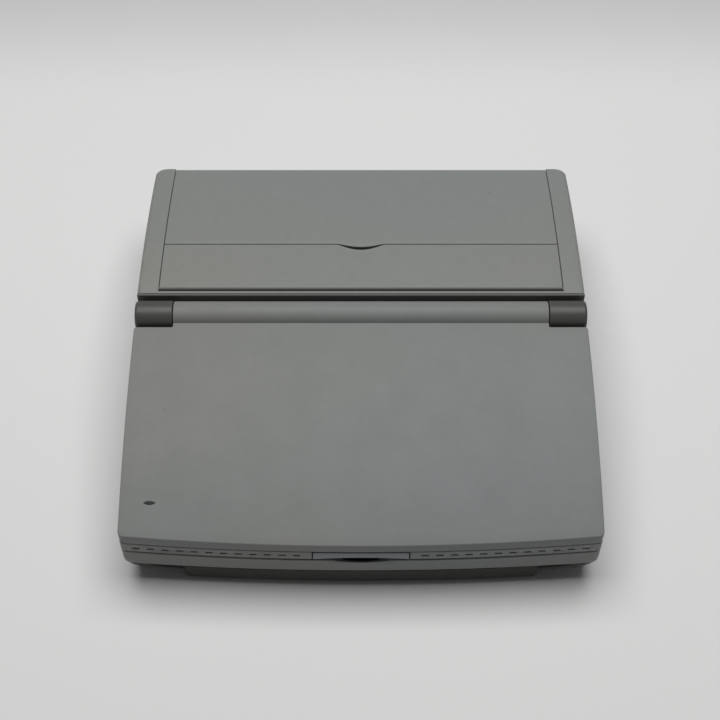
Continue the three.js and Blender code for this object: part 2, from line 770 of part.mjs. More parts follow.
function bowlSections(extra, floor) {
  const curve = bowlShares.map((share) => {
    const z = footHeight + share * bowlRadius;
    return { z, inset: lowerLean + bowlRadius * (1 - Math.sqrt(1 - (1 - share) ** 2)) };
  });
  const wanted = curve.filter(({ z }) => z >= floor - fit);
  const first = wanted.length < curve.length ? [{ z: floor, inset: curve[1].inset }] : [];
  return [...first, ...wanted, { z: splitHeight, inset: lowerLean }].map(({ z, inset }) => (
    { z, points: caseOutline(inset + extra, baseCorner, rearCorner + baseCorner / 4) }));
}

function lowerCase() {
  const floorTop = footHeight + wall;
  const body = loft(bowlSections(0, footHeight)).intersect(
    block(-width, width, -depth, depth, 0, splitHeight - fit));
  const innerSections = bowlSections(wall, floorTop);
  const last = innerSections[innerSections.length - 1];
  const hollow = loft([...innerSections, { z: splitHeight + overrun, points: last.points }]);
  const pocketRear = frontY + handleSetback + handleDepth + handlePocketGap;
  const pocket = (grow) => block(-handleHalf - handlePocketGap - grow, handleHalf + handlePocketGap + grow,
    frontY - overrun, pocketRear + grow, -overrun, handleBottom + handleHeight + handlePocketGap + grow);
  const tunnels = [-1, 1].map((side) => {
    const x = side * (handleHalf - handleArmInset - handleArm / 2);
    return block(x - handleArm / 2 - fit, x + handleArm / 2 + fit, frontY, pocketRear + overrun,
      armBottom - fit, armBottom + handleArmHeight + fit);
  });
  const guides = [-1, 1].flatMap((side) => [-1, 1].map((edge) => {
    const x = side * (handleHalf - handleArmInset - handleArm / 2) + edge * (handleArm / 2 + fit + wall / 2);
    return block(x - wall / 2, x + wall / 2, pocketRear, pocketRear + handleArmLength / 2,
      footHeight + wall / 2, armBottom + handleArmHeight - fit);
  }));
  const floor = footHeight + wall / 2;
  const boss = (x, y, top) => rodZ(bossRadius, floor, top - fit, x, y, 10);
  const { x0, x1, y0, y1 } = boardBox;
  const power = powerBoardBox;
  const bosses = [
    ...[[x0, y0], [x1, y0], [x0, y1], [x1, y1]].map(([x, y]) => boss(
      x + Math.sign(x1 + x0 - 2 * x) * 2 * bossRadius,
      y + Math.sign(y0 + y1 - 2 * y) * 2 * bossRadius, boardBox.z)),
    ...[[power.x0, power.y0], [power.x1, power.y0], [power.x0, power.y1], [power.x1, power.y1]].map(
      ([x, y]) => boss(x + Math.sign(power.x1 + power.x0 - 2 * x) * 2 * bossRadius,
        y + Math.sign(power.y0 + power.y1 - 2 * y) * 2 * bossRadius, power.z)),
    ...driveBossShares.map((share) => boss(driveRight - driveLength * share, driveFront + driveWidth / 2,
      driveBottom)),
    ...[-1, 1].flatMap((side) => [chassisFront + 2 * bossRadius, chassisRear - bossRadius].map((y) => boss(
      side * (chassisHalf + bossRadius), y, chassisBottom))),
  ];
  const window = block(width / 2 - 3 * overrun, width, driveFront - fit, driveFront + driveWidth + fit,
    driveBottom - fit, driveBottom + driveHeight + fit);
  const door = block(batteryX - fit, batteryX + batteryLength + fit, batteryY - fit,
    batteryY + batteryWidth + fit, -overrun, batteryTop + fit);
  const rebate = block(batteryX - batteryLip - fit, batteryX + batteryLength + batteryLip + fit,
    batteryY - batteryLip - fit, batteryY + batteryWidth + batteryLip + fit, -overrun, footHeight + wall / 2);
  const inlet = block(inletX - inletHalf - fit, inletX + inletHalf + fit, rearY - 4 * wall, rearY + overrun,
    inletBottom - fit, splitHeight + overrun);
  const ventRow = (x, y) => Array.from({ length: 2 * ventHalfCount + 1 }, (_, k) => {
    const middle = x + (k - ventHalfCount) * ventPitch;
    return block(middle - ventWidth / 2, middle + ventWidth / 2, y - ventLength / 2, y + ventLength / 2,
      -overrun, footHeight + 2 * wall);
  });
  const rowHalf = ventHalfCount * ventPitch;
  const vents = [
    ...ventRow(batteryX + batteryLength + batteryVentGap + rowHalf, batteryY + batteryWidth / 2),
    ...ventRow((x0 + x1) / 2, y0 + boardVentInset),
  ];
  const screws = [-1, 1].flatMap((side) => [frontY + screwFromSide, hingeY, rearY - screwFromSide].map(
    (y) => rodZ(screwRadius, 0, footHeight + screwDepth, side * (width / 2 - screwFromSide), y, 12)));
  const shell = cutAway(body, [hollow]).add(pocket(wall).intersect(body));
  addPart('lower_case', cutAway(joined([shell, ...bosses, ...guides]),
    [pocket(0), ...tunnels, window, door, rebate, inlet, ...vents, ...screws]), charcoal);
  const grips = [-1, 0, 1].map((k) => {
    const x = batteryX + batteryLength / 2;
    const y = batteryY + batteryWidth - 2 * gripPitch + k * gripPitch;
    return block(x - gripWidth / 2, x + gripWidth / 2, y - gripGroove / 2, y + gripGroove / 2,
      -overrun, footHeight + gripDepth);
  });
  const lip = block(batteryX - batteryLip, batteryX + batteryLength + batteryLip,
    batteryY - batteryLip, batteryY + batteryWidth + batteryLip, footHeight, footHeight + wall / 2 - fit);
  const plug = block(batteryX, batteryX + batteryLength, batteryY, batteryY + batteryWidth,
    footHeight, footHeight + wall);
  addPart('battery_cover', cutAway(lip.add(plug), grips), charcoal);
}

// Four rubber feet under the lower case
function feet() {
  const top = footHeight - fit / 3;
  const profile = [[0, 0], [footRadius - footEdge, 0], [footRadius, footEdge], [footRadius, top], [0, top]]
    .map(([r, z]) => new THREE.Vector2(r, z));
  const foot = solid(new THREE.LatheGeometry(profile, 16).rotateX(Math.PI / 2));
  [['front', frontY + footFromFront], ['rear', rearY - footFromRear]].forEach(([end, y]) => {
    [['left', -1], ['right', 1]].forEach(([word, side]) => {
      addPart(`foot_${end}_${word}`, foot.translate([side * (width / 2 - footFromSide), y, 0]), rubber);
    });
  });
}

// Carrying handle: a bar across the front with two arms that slide in the lower case
const armBottom = footHeight + wall + fit;

function handle() {
  const front = frontY + handleSetback;
  const outline = [
    ...Array.from({ length: 9 }, (_, k) => {
      const x = handleHalf * (k / 4 - 1);
      return [x, front + bow(x)];
    }),
    [handleHalf, front + handleDepth],
    [-handleHalf, front + handleDepth],
  ];
  const top = handleBottom + handleHeight;
  const bar = prismZ(outline, handleBottom, top).intersect(prismY([
    [-handleHalf + handleTaper, handleBottom], [handleHalf - handleTaper, handleBottom],
    [handleHalf, handleBottom + handleTaper], [handleHalf, top],
    [-handleHalf, top], [-handleHalf, handleBottom + handleTaper],
  ], frontY - overrun, frontY + 3 * overrun));
  const arms = [-1, 1].map((side) => {
    const x = side * (handleHalf - handleArmInset - handleArm / 2);
    return block(x - handleArm / 2, x + handleArm / 2, front + handleDepth / 2,
      front + handleDepth + handleArmLength, armBottom, armBottom + handleArmHeight);
  });
  addPart('carry_handle', joined([bar, ...arms]), charcoal);
}

// Dark strip behind the lid's barrel, end caps of the hinge and the friction shafts in them
function hingeParts() {
  const top = archHeight(housingFront, housingArch) - trimBelowTop;
  addPart('hinge_trim', prismX([
    [hingeY + hingeBackClearance, troughHeight + fit], [housingFront - fit, troughHeight + fit],
    [housingFront - fit, top], [hingeY + hingeBackClearance + trimThickness / 4, top],
    [hingeY + hingeBackClearance, top - trimThickness / 4]], -width / 2, width / 2), charcoal);
  [['left', -1], ['right', 1]].forEach(([word, side]) => {
    const inner = barrelHalf + capGap;
    const outer = width / 2;
    const profile = [[0, inner], [capRadius, inner],
      ...arcPoints(capRadius - capEdge, outer - capEdge, capEdge, 0, Math.PI / 2, 3), [0, outer]]
      .map(([r, x]) => new THREE.Vector2(r, x));
    const drum = solid(new THREE.LatheGeometry(profile, 28).rotateZ(-Math.PI / 2));
    const base = block(inner, outer - capEdge, -capRadius, capRadius + fit,
      troughHeight + fit - hingeHeight, 0);
    const bore = rodX(clutchRadius + fit, inner - overrun, inner + clutchReachOut + fit, 0, 0, 16);
    const place = (body) => (side < 0 ? body.mirror([1, 0, 0]) : body).translate([0, hingeY, hingeHeight]);
    addPart(`hinge_cap_${word}`, place(drum.add(base).subtract(bore)), charcoal);
    const shaft = rodX(clutchRadius, barrelHalf - clutchReachIn, inner + clutchReachOut, 0, 0, 16);
    addPart(`hinge_clutch_${word}`, place(shaft), steel);
  });
}

// Lid: outer shell with the hinge barrel, bezel frame with the front band, display and latch
const lidBottom = (y) => deckHeight(y) + partingGap;
const seam = (y) => lidBottom(y) + bandHeight;
const lidRear = hingeY - capRadius - capClearance;

function lidProfile(under, drop, y0, y1) {
  return [[y0, under(y0)], [y1, under(y1)], ...archPoints(y1, y0, lidArch, drop, 12)];
}

const lidOutline = (inset) => planOutline(width / 2 - inset, frontY + inset, lidRear - inset,
  lidCorner - inset / 2, lidWall);

function lidShell() {
  const skirt = (y) => seam(y) + seamGap;
  const outer = prismZ(lidOutline(0), splitHeight, hingeHeight + 2 * capRadius)
    .intersect(prismX(lidProfile(skirt, 0, frontY - overrun, lidRear + overrun), -width, width));
  const inner = prismZ(lidOutline(lidWall), 0, hingeHeight + 2 * capRadius)
    .intersect(prismX(lidProfile((y) => skirt(y) - overrun, lidWall, frontY - overrun, lidRear + overrun),
      -width, width));
  const edge = edgeCutter(lidOutline(0), lidArch, lidEdge);
  const webTop = archHeight(hingeY - barrelRadius / 2, lidArch);
  const web = prismX([
    [lidRear - lidWall / 2, skirt(lidRear)], [hingeY - barrelRadius + lidWall, skirt(lidRear)],
    [hingeY, hingeHeight], [hingeY - barrelRadius / 2, webTop],
    [lidRear - lidWall / 2, archHeight(lidRear, lidArch)]], -barrelHalf, barrelHalf);
  const barrel = rodX(barrelRadius, -barrelHalf, barrelHalf, hingeY, hingeHeight, 32);
  const bores = [-1, 1].map((side) => rodX(clutchRadius + fit,
    ...span(side * (barrelHalf + overrun), side * (barrelHalf - clutchReachIn - fit)), hingeY, hingeHeight, 16));
  addPart('lid_shell', cutAway(joined([cutAway(outer, [inner, edge]), web, barrel]),
    [...bores, lens(panelGap / 2, 2 * overrun)]), lightGrey);
  const cover = prismX(lidProfile(skirt, 0, frontY - overrun, lidRear), -width, width);
  const underside = prismX(lidProfile((y) => skirt(y) - overrun, lidWall, frontY - overrun, lidRear),
    -width, width);
  addPart('charge_lens', lens(0, 2 * overrun).intersect(cover).subtract(underside), lensDark);
}

// An eye-shaped outline: two equal arcs that meet in points.
function lens(grow, height) {
  const half = lensLength / 2 + grow;
  const rise = lensWidth / 2 + grow;
  const radius = (half ** 2 + rise ** 2) / (2 * rise);
  const sweep = Math.asin(half / radius);
  const lower = arcPoints(0, radius - rise, radius, -Math.PI / 2 - sweep, -Math.PI / 2 + sweep, 6);
  const upper = arcPoints(0, rise - radius, radius, Math.PI / 2 - sweep, Math.PI / 2 + sweep, 6);
  const outline = [...lower, ...upper.slice(1, -1)];
  const y = frontY + lensFromFront;
  const middle = archHeight(y, lidArch);
  return prismZ(outline.map(([x, dy]) => [x + lensFromSide - width / 2, y + dy]), middle - height, middle + height);
}

function lidBezel() {
  const slab = prismZ(lidOutline(0), 0, hingeHeight + 2 * capRadius).intersect(prismX([
    [frontY - overrun, lidBottom(frontY - overrun)], [lidRear + overrun, lidBottom(lidRear + overrun)],
    [lidRear + overrun, seam(lidRear + overrun)], [frontY - overrun, seam(frontY - overrun)]], -width, width));
  const lower = partingGap;
  const rear = lidReach - deckReachToHinge;
  const recess = onDeck(block(bezelRim - width / 2, width / 2 - bezelRim,
    latchBayDepth + bezelFrontWall, rear - bezelRim, lower - overrun, lower + bezelRecess));
  const opening = onDeck(block(-displayWidth / 2, displayWidth / 2, displayCentre - displayLength / 2,
    displayCentre + displayLength / 2, 0, bandHeight + overrun));
  const bay = block(-latchHalf - panelGap, latchHalf + panelGap, frontY - overrun,
    frontY + latchBayDepth, 0, hingeHeight);
  const slots = [-1, 1].flatMap((side) => Array.from({ length: slotCount }, (_, k) => {
    const x = side * (slotFirst + k * slotPitch);
    const y = frontY + bow(x);
    const z = (lidBottom(y) + seam(y)) / 2;
    return block(x - slotLength / 2, x + slotLength / 2, y - overrun, y + slotDepth,
      z - slotHeight / 2, z + slotHeight / 2);
  }));
  const pinSeats = [-1, 1].map((side) => rodX(latchPinRadius + fit,
    ...span(side * latchHalf, side * (latchHalf + 2 * lidWall)), latchPinY, latchPinZ, 12));
  addPart('lid_bezel', cutAway(slab, [recess, opening, bay, ...slots, ...pinSeats]), lightGrey);
}

// Display module behind the bezel, its window, the lamp supply board and two bumpers
function displayParts() {
  const shelf = partingGap + bandHeight;
  const lap = displayLap;
  addPart('display_panel', block(-displayWidth / 2 - lap, displayWidth / 2 + lap,
    displayCentre - displayLength / 2 - lap, displayCentre + displayLength / 2 + lap,
    shelf + fit, shelf + fit + displayThickness), blackPlastic, deckFrame);
  addPart('display_window', block(-displayWidth / 2 + fit, displayWidth / 2 - fit,
    displayCentre - displayLength / 2 + fit, displayCentre + displayLength / 2 - fit,
    shelf - windowThickness, shelf), displayGlass, deckFrame);
  addPart('inverter_board', block(displayWidth / 2 - 7 * inverterLength, displayWidth / 2 - inverterLength,
    displayCentre - displayLength / 2 - 1.5 * inverterLength, displayCentre - displayLength / 2 - lap - fit,
    shelf + fit, shelf + fit + inverterThickness), boardGreen, deckFrame);
  [['left', -1], ['right', 1]].forEach(([word, side]) => {
    const x = side * (width / 2 - bezelRim - bumperSide);
    const z = partingGap + bezelRecess;
    const y = latchBayDepth + bezelFrontWall + bumperSide;
    addPart(`lid_bumper_${word}`, block(x - bumperSide / 2, x + bumperSide / 2, y - bumperSide / 2,
      y + bumperSide / 2, fit, z - fit), rubber, deckFrame);
  });
}

// Latch bar: turns on a pin along its top, and its hooks reach into the deck
const latchPinY = frontY + latchThickness;
const latchPinZ = seam(frontY) - 2 * latchPinRadius - fit;

function latch() {
  const bottom = deckHeight(frontY + latchBarDepth) + fit;
  const top = seam(frontY) - fit;
  const radius = (latchHalf ** 2 + latchArch ** 2) / (2 * latchArch);
  const sweep = Math.asin(latchHalf / radius);
  const arch = arcPoints(0, bottom + latchArch - radius, radius, Math.PI / 2 + sweep, Math.PI / 2 - sweep, 12);
  const face = prismY([...arch, [latchHalf, top], [-latchHalf, top]], frontY, frontY + overrun + latchBarDepth);
  const front = Array.from({ length: 9 }, (_, k) => {
    const x = latchHalf * (k / 4 - 1);
    return [x, frontY + fit + bow(x)];
  });
  const rear = frontY + latchBarDepth;
  const bar = face.intersect(prismZ([...front, [latchHalf, rear], [-latchHalf, rear]], 0, hingeHeight));
  const hooks = [-1, 1].map((side) => {
    const x = side * hookHalfSpan;
    const leg = frontY + latchThickness + hookThickness;
    const elbow = bottom + latchArch + hookThickness;
    return prismX([
      [frontY + latchThickness / 2, elbow - hookThickness / 2], [leg, elbow - hookThickness / 2],
      [leg, bottom - hookReach], [leg + hookThickness, bottom - hookReach],
      [leg + hookThickness, elbow + hookThickness], [frontY + latchThickness / 2, elbow + hookThickness],
    ], x - hookWidth / 2, x + hookWidth / 2);
  });
  const bore = rodX(latchPinRadius + fit, -width / 2, width / 2, latchPinY, latchPinZ, 12);
  addPart('lid_latch', cutAway(joined([bar, ...hooks]), [bore]), latchGrey);
  const pinHalf = latchHalf + 2 * lidWall - fit;
  addPart('latch_pin', rodX(latchPinRadius, -pinHalf, pinHalf, latchPinY, latchPinZ, 12), steel);
}

// Covers over the printer: the rear one stands up as a paper support, the front one opens forwards
function smile(half, rise, y, drop) {
  const radius = (half ** 2 + rise ** 2) / (2 * rise);
  const sweep = Math.asin(half / radius);
  const outline = arcPoints(0, y - rise + radius, radius, -Math.PI / 2 - sweep, -Math.PI / 2 + sweep, 12);
  return prismZ([...outline, [half, y + coverThickness], [-half, y + coverThickness]],
    hingeHeight - drop, hingeHeight + 2 * housingRise);
}

function coverSlab(y0, y1, half) {
  return prismX([...archPoints(y0, y1, housingArch, coverThickness, 8),
    ...archPoints(y1, y0, housingArch, 0, 8)], -half, half);
}

function covers() {
  const half = panelHalf - panelGap;
  const splitY = hingeY + splitFromHinge;
  const stud = (y, z) => rodX(studRadius, -panelHalf - studLength + fit, panelHalf + studLength - fit, y, z, 12);
  const tab = smile(tabHalf, tabDepth, splitY, housingRise)
    .intersect(coverSlab(splitY - 2 * tabDepth, splitY - fit, half));
  addPart('support_tab', tab, lightGrey);
  const support = joined([coverSlab(splitY, supportPivotY, half),
    rodX(supportBarrel, -half, half, supportPivotY, supportPivotZ, 20), stud(supportPivotY, supportPivotZ)]);
  addPart('paper_support', support, lightGrey);
  const dishRadius = (dishLength ** 2 + dishDepth ** 2) / (2 * dishDepth);
  const dishTop = archHeight(splitY, housingArch);
  const dish = solid(new THREE.SphereGeometry(dishRadius, 40, 30)
    .translate(0, splitY, dishTop - dishDepth + dishRadius));
  const near = block(-2 * tabHalf, 2 * tabHalf, splitY - 2 * dishLength, splitY,
    dishTop - 3 * dishDepth, dishTop + overrun);
  const cover = joined([coverSlab(coverPivotY, splitY - splitGap, half),
    rodX(coverBarrel, -half, half, coverPivotY, coverPivotZ, 16), stud(coverPivotY, coverPivotZ)]);
  const notch = smile(tabHalf + splitGap, tabDepth + tabFingerGap, splitY - splitGap, overrun);
  addPart('ribbon_cover', cutAway(cover, [notch, dish.intersect(near)]), lightGrey);
}

// Floppy drive with its slot and eject button in the right side, and the power switch on the deck
function driveAndSwitch() {
  const left = driveRight - driveLength;
  const rear = driveFront + driveWidth;
  const top = driveBottom + driveHeight;
  const slotTop = top - driveSlotMargin;
  const slot = block(driveRight - driveSlotDepth, driveRight + overrun, driveFront + driveSlotMargin,
    rear - driveSlotMargin, slotTop - driveSlotHeight, slotTop);
  const buttonRear = rear - 2 * driveSlotMargin;
  const buttonBottom = driveBottom + driveSlotMargin / 2;
  const socket = block(driveRight - driveButtonDepth - driveButtonTravel, driveRight + overrun,
    buttonRear - driveButtonWidth - fit, buttonRear + fit, buttonBottom - fit, buttonBottom + driveButtonHeight + fit);
  const box = block(left, driveRight, driveFront + fit, rear - fit, driveBottom, top);
  addPart('floppy_drive', cutAway(box, [slot, socket]), blackPlastic);
  addPart('floppy_button', block(driveRight - driveButtonDepth, driveRight + driveFaceInset / 2,
    buttonRear - driveButtonWidth, buttonRear, buttonBottom, buttonBottom + driveButtonHeight), blackPlastic);
  const x = switchX;
  const y = switchAlongDeck;
  const knob = block(x, x + switchLength - switchTravel, y - switchWidth / 2, y + switchWidth / 2,
    -2 * wall, keyAboveDeck / 2);
  const flange = block(x - switchTravel, x + switchLength, y - switchWidth, y + switchWidth,
    -2 * wall, -wall - fit);
  addPart('power_switch', knob.add(flange), blackPlastic, deckFrame);
}

// Boards, battery and power inlet
function electronics() {
  const { x0, x1, y0, y1, z } = boardBox;
  const top = z + boardThickness;
  const chips = chipColumnShares.map((share, k) => {
    const x = x0 + (x1 - x0) * share;
    const y = y0 + (y1 - y0) * chipRowShares[k % chipRowShares.length];
    return block(x - chipSide / 2, x + chipSide / 2, y - chipSide / 2, y + chipSide / 2, top - fit, top + chipHeight);
  });
  addPart('main_board', joined([block(x0, x1, y0, y1, z, top), ...chips]), boardGreen);
  const power = powerBoardBox;
  const powerTop = power.z + boardThickness;
  const cans = canShares.map((share) => rodZ(canRadius, powerTop - fit, powerTop + canHeight,
    power.x0 + (power.x1 - power.x0) * share, power.y0 + (power.y1 - power.y0) / 2));
  addPart('power_board', joined([block(power.x0, power.x1, power.y0, power.y1, power.z, powerTop), ...cans]),
    boardGreen);
  const inlet = block(inletX - inletHalf, inletX + inletHalf, rearY - inletLength, rearY - lowerLean,
    inletBottom, inletTop);
  addPart('dc_inlet', inlet.subtract(rodY(inletBore, rearY - inletLength + wall, rearY + overrun, inletX,
    (inletBottom + inletTop) / 2, 16)), blackPlastic);
  addPart('battery_pack', block(batteryX + fit, batteryX + batteryLength - fit, batteryY + fit,
    batteryY + batteryWidth - fit, footHeight + wall + fit, batteryTop), blackPlastic);
}

// Spur gear with flat-sided teeth in the Y-Z plane, one tooth centred on the given angle.
function gear(teeth, y, z, x0, x1, angle, boreRadius) {
  const pitch = teeth * gearModule / 2;
  const step = 2 * Math.PI / teeth;
  const toothShares = [[-0.27, -1.15], [-0.11, 0.8], [0.11, 0.8], [0.27, -1.15]];
  const outline = Array.from({ length: teeth }, (_, k) => toothShares.map(([share, height]) => {
    const turn = angle + (k + share) * step;
    const radius = pitch + height * gearModule;
    return [y + radius * Math.cos(turn), z + radius * Math.sin(turn)];
  })).flat();
  return prismX(outline, x0, x1).subtract(rodX(boreRadius, x0 - overrun, x1 + overrun, y, z, 16));
}

const idlerY = platenY + (platenTeeth + idlerTeeth) / 2 * gearModule * Math.cos(idlerAngle);
const idlerZ = platenZ + (platenTeeth + idlerTeeth) / 2 * gearModule * Math.sin(idlerAngle);
const pinionY = idlerY + (idlerTeeth + pinionTeeth) / 2 * gearModule * Math.cos(pinionAngle);
const pinionZ = idlerZ + (idlerTeeth + pinionTeeth) / 2 * gearModule * Math.sin(pinionAngle);
const gearX = chassisHalf + gearGap;

function paperFeed() {
  const shaft = rodX(platenShaftRadius, -chassisHalf - shaftOverhang, gearX + gearWidth + shaftOverhang,
    platenY, platenZ);
  addPart('platen_roller', rodX(platenRadius, -platenHalf, platenHalf, platenY, platenZ, 32).add(shaft), rubber);
  addPart('platen_gear', gear(platenTeeth, platenY, platenZ, gearX, gearX + gearWidth, idlerAngle,
    platenShaftRadius + fit), gearWhite);
  const idlerStep = 2 * Math.PI / idlerTeeth;
  addPart('idler_gear', gear(idlerTeeth, idlerY, idlerZ, gearX, gearX + gearWidth,
    idlerAngle + Math.PI + idlerStep / 2, pulleyPinRadius + fit), gearWhite);
  const offset = (pinionAngle - (idlerAngle + Math.PI + idlerStep / 2)) / idlerStep;
  const lead = (offset - Math.round(offset)) * idlerStep;
  const pinionStep = 2 * Math.PI / pinionTeeth;
  addPart('motor_pinion', gear(pinionTeeth, pinionY, pinionZ, gearX, gearX + gearWidth,
    pinionAngle + Math.PI + pinionStep / 2 + lead * idlerTeeth / pinionTeeth, pulleyPinRadius + fit), steel);
  const inside = chassisHalf - sheetSteel - fit;
  addPart('feed_motor', rodX(feedMotorRadius, inside - feedMotorLength, inside, pinionY, pinionZ, 24)
    .add(rodX(pulleyPinRadius, inside - fit, gearX + gearWidth + pinOverhang, pinionY, pinionZ, 12)), steel);
  const chuteInner = platenRadius + chuteGap;
  const chute = [
    ...arcPoints(platenY, platenZ, chuteInner, chuteStartAngle, chuteEndAngle, 10),
    ...arcPoints(platenY, platenZ, chuteInner + chuteThickness, chuteEndAngle, chuteStartAngle, 10)];
  addPart('paper_chute', prismX(chute, -inside, inside - feedMotorLength - shaftOverhang), blackPlastic);
  const bailY = platenY + bailReach * Math.cos(bailAngle);
  const bailZ = platenZ + bailReach * Math.sin(bailAngle);
  const bailHalf = inside - feedMotorLength - bailLever;
  const rollers = bailRollerShares.map((share) => rodX(bailRollerRadius,
    share * bailRollerPlace - bailRollerWidth / 2, share * bailRollerPlace + bailRollerWidth / 2,
    bailY, bailZ, 14));
  const leverX = -bailHalf;
  const lever = prismX([
    [bailY - bailRadius, bailZ], [bailY + bailRadius, bailZ - bailRadius],
    [bailPivotY + bailRadius, bailPivotZ - bailRadius], [bailPivotY + 2 * bailRadius, bailPivotZ],
    [bailPivotY + bailRadius, bailPivotZ + 2 * bailRadius], [bailY, bailZ + bailRadius],
  ], leverX - bailLever, leverX);
  const pivot = rodX(bailRadius, -chassisHalf - pinOverhang, leverX, bailPivotY, bailPivotZ, 12);
  const bar = rodX(bailRadius, leverX - bailLever / 2, bailHalf, bailY, bailZ, 12);
  addPart('paper_bail', joined([bar, ...rollers, lever, pivot]), blackPlastic);
}

// Sheet-steel chassis that holds the platen, the rail and both motors
function chassis() {
  const half = chassisHalf;
  const floor = block(-half - 2 * bossRadius, half + 2 * bossRadius, chassisFront, chassisRear,
    chassisBottom, chassisBottom + sheetSteel);
  const cheeks = [-1, 1].map((side) => {
    return prismX([[chassisFront, chassisBottom], [chassisRear, chassisBottom],
      [chassisRear, pinionZ + feedMotorRadius + sheetSteel], [platenY + bailReach, chassisTop],
      [platenY - bailReach, chassisTop], [chassisFront, carriageTop],
    ], ...span(side * half, side * (half - sheetSteel)));
  });
  const ears = [-1, 1].map((side) => {
    return block(...span(side * half, side * (pulleyPlace - 2 * pulleyRadius)),
      chassisFront - sheetSteel, chassisFront, chassisBottom, carriageTop);
  });
  const gearSlot = block(half + sheetSteel / 2, width / 2, idlerY - idlerTeeth / 2 * gearModule,
    chassisRear - 3 * bossRadius, 0, chassisBottom + 2 * sheetSteel);
  const idlerPin = rodX(pulleyPinRadius, half - sheetSteel / 2, gearX + gearWidth + pinOverhang, idlerY, idlerZ, 12);
  const beltPin = rodY(pulleyPinRadius, chassisFront - sheetSteel / 2, beltFront + pulleyWidth,
    -pulleyPlace, guideZ, 12);
  const through = (radius, y, z) => rodX(radius + fit, -width / 2, width / 2, y, z, 20);
  const holes = [
    through(platenShaftRadius, platenY, platenZ),
    through(guideRadius, guideY, guideZ),
    rodX(bailRadius + fit, -width / 2, 0, bailPivotY, bailPivotZ, 12),
    rodX(pulleyPinRadius + fit, 0, width / 2, pinionY, pinionZ, 12),
    rodY(pulleyPinRadius + fit, 0, chassisRear, pulleyPlace, guideZ, 12),
    gearSlot,
  ];
  addPart('printer_chassis', cutAway(joined([floor, ...cheeks, ...ears]), holes).add(idlerPin).add(beltPin),
    steel);
  addPart('guide_shaft', rodX(guideRadius, -half - shaftOverhang, half + shaftOverhang, guideY, guideZ, 20), steel);
}

// Print carriage with head and ribbon cassette, moved by a toothed belt
function carriageDrive() {
  const x0 = carriageHome - carriageWidth / 2;
  const x1 = carriageHome + carriageWidth / 2;
  const body = block(x0, x1, carriageFront, carriageRear, carriageBottom, carriageTop);
  const beltTop = guideZ + pulleyRadius + beltThickness;
  const clamp = block(carriageHome - carriageWidth / 6, carriageHome + carriageWidth / 6, beltFront,
    carriageFront + fit, beltTop + fit, carriageTop);
  addPart('carriage', cutAway(body.add(clamp), [rodX(guideRadius + fit, x0 - overrun, x1 + overrun,
    guideY, guideZ, 20)]), blackPlastic);
  const headRear = platenY - platenRadius - headGap;
  addPart('print_head', block(carriageHome - headWidth / 2, carriageHome + headWidth / 2,
    carriageRear + fit, headRear, carriageTop - headTop + carriageTop, headTop), steel);
  const cassette = block(carriageHome - cassetteWidth / 2 + headWidth, carriageHome + cassetteWidth / 2,
    cassetteFront, carriageRear, carriageTop + fit, carriageTop + fit + cassetteHeight);
  const hubs = hubShares.map((share) => rodZ(hubRadius, carriageTop + 2 * fit,
    carriageTop + cassetteHeight + 4 * fit, carriageHome - cassetteWidth / 2 + headWidth + (cassetteWidth - headWidth) * share,
    (cassetteFront + carriageRear) / 2));
  addPart('ribbon_cassette', joined([cassette, ...hubs]), blackPlastic);
  const loop = (radius) => [
    ...arcPoints(pulleyPlace, guideZ, radius, -Math.PI / 2, Math.PI / 2, 10),
    ...arcPoints(-pulleyPlace, guideZ, radius, Math.PI / 2, Math.PI * 1.5, 10)];
  addPart('carriage_belt', prismY(loop(pulleyRadius + beltThickness), beltFront, beltFront + beltWidth)
    .subtract(prismY(loop(pulleyRadius + fit), beltFront - overrun, beltFront + beltWidth + overrun)), rubber);
  [['drive_pulley', 1], ['idler_pulley', -1]].forEach(([name, side]) => {
    const wheel = rodY(pulleyRadius, beltFront, beltFront + pulleyWidth, side * pulleyPlace, guideZ, 24);
    addPart(name, wheel.subtract(rodY(pulleyPinRadius + fit, 0, chassisRear, side * pulleyPlace, guideZ, 12)),
      gearWhite);
  });
  const ear = chassisFront - sheetSteel - fit;
  addPart('carriage_motor', rodY(carriageMotorRadius, ear - carriageMotorLength, ear, pulleyPlace, guideZ, 24)
    .add(rodY(pulleyPinRadius, ear - fit, beltFront + pulleyWidth, pulleyPlace, guideZ, 12)), steel);
}

upperCase();
lowerCase();
feet();
handle();
hingeParts();
lidShell();
lidBezel();
displayParts();
latch();
covers();
keyboard();
driveAndSwitch();
electronics();
chassis();
paperFeed();
carriageDrive();

export default machine;
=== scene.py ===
import math

import bmesh
import bpy
import numpy as np
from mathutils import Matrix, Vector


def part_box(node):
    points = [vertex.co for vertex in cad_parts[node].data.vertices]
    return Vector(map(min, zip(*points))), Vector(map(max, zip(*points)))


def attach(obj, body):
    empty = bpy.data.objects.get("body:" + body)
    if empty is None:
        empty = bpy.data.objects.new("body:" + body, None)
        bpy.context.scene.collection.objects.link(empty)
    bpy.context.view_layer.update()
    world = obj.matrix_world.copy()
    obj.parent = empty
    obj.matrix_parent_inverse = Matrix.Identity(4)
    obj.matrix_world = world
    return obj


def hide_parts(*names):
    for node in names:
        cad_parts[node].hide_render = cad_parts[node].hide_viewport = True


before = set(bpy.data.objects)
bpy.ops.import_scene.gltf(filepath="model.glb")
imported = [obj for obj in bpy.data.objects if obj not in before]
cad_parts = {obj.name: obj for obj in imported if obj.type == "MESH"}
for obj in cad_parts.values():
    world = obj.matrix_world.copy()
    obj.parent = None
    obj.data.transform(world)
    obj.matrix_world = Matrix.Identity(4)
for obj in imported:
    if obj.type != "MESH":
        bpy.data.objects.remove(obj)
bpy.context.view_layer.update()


# Camera: a long lens, level from side to side and looking down on the front of the closed machine.
# The machine's middle shows one pixel to the right of the middle of the 720 pixel picture.
MM = 0.001
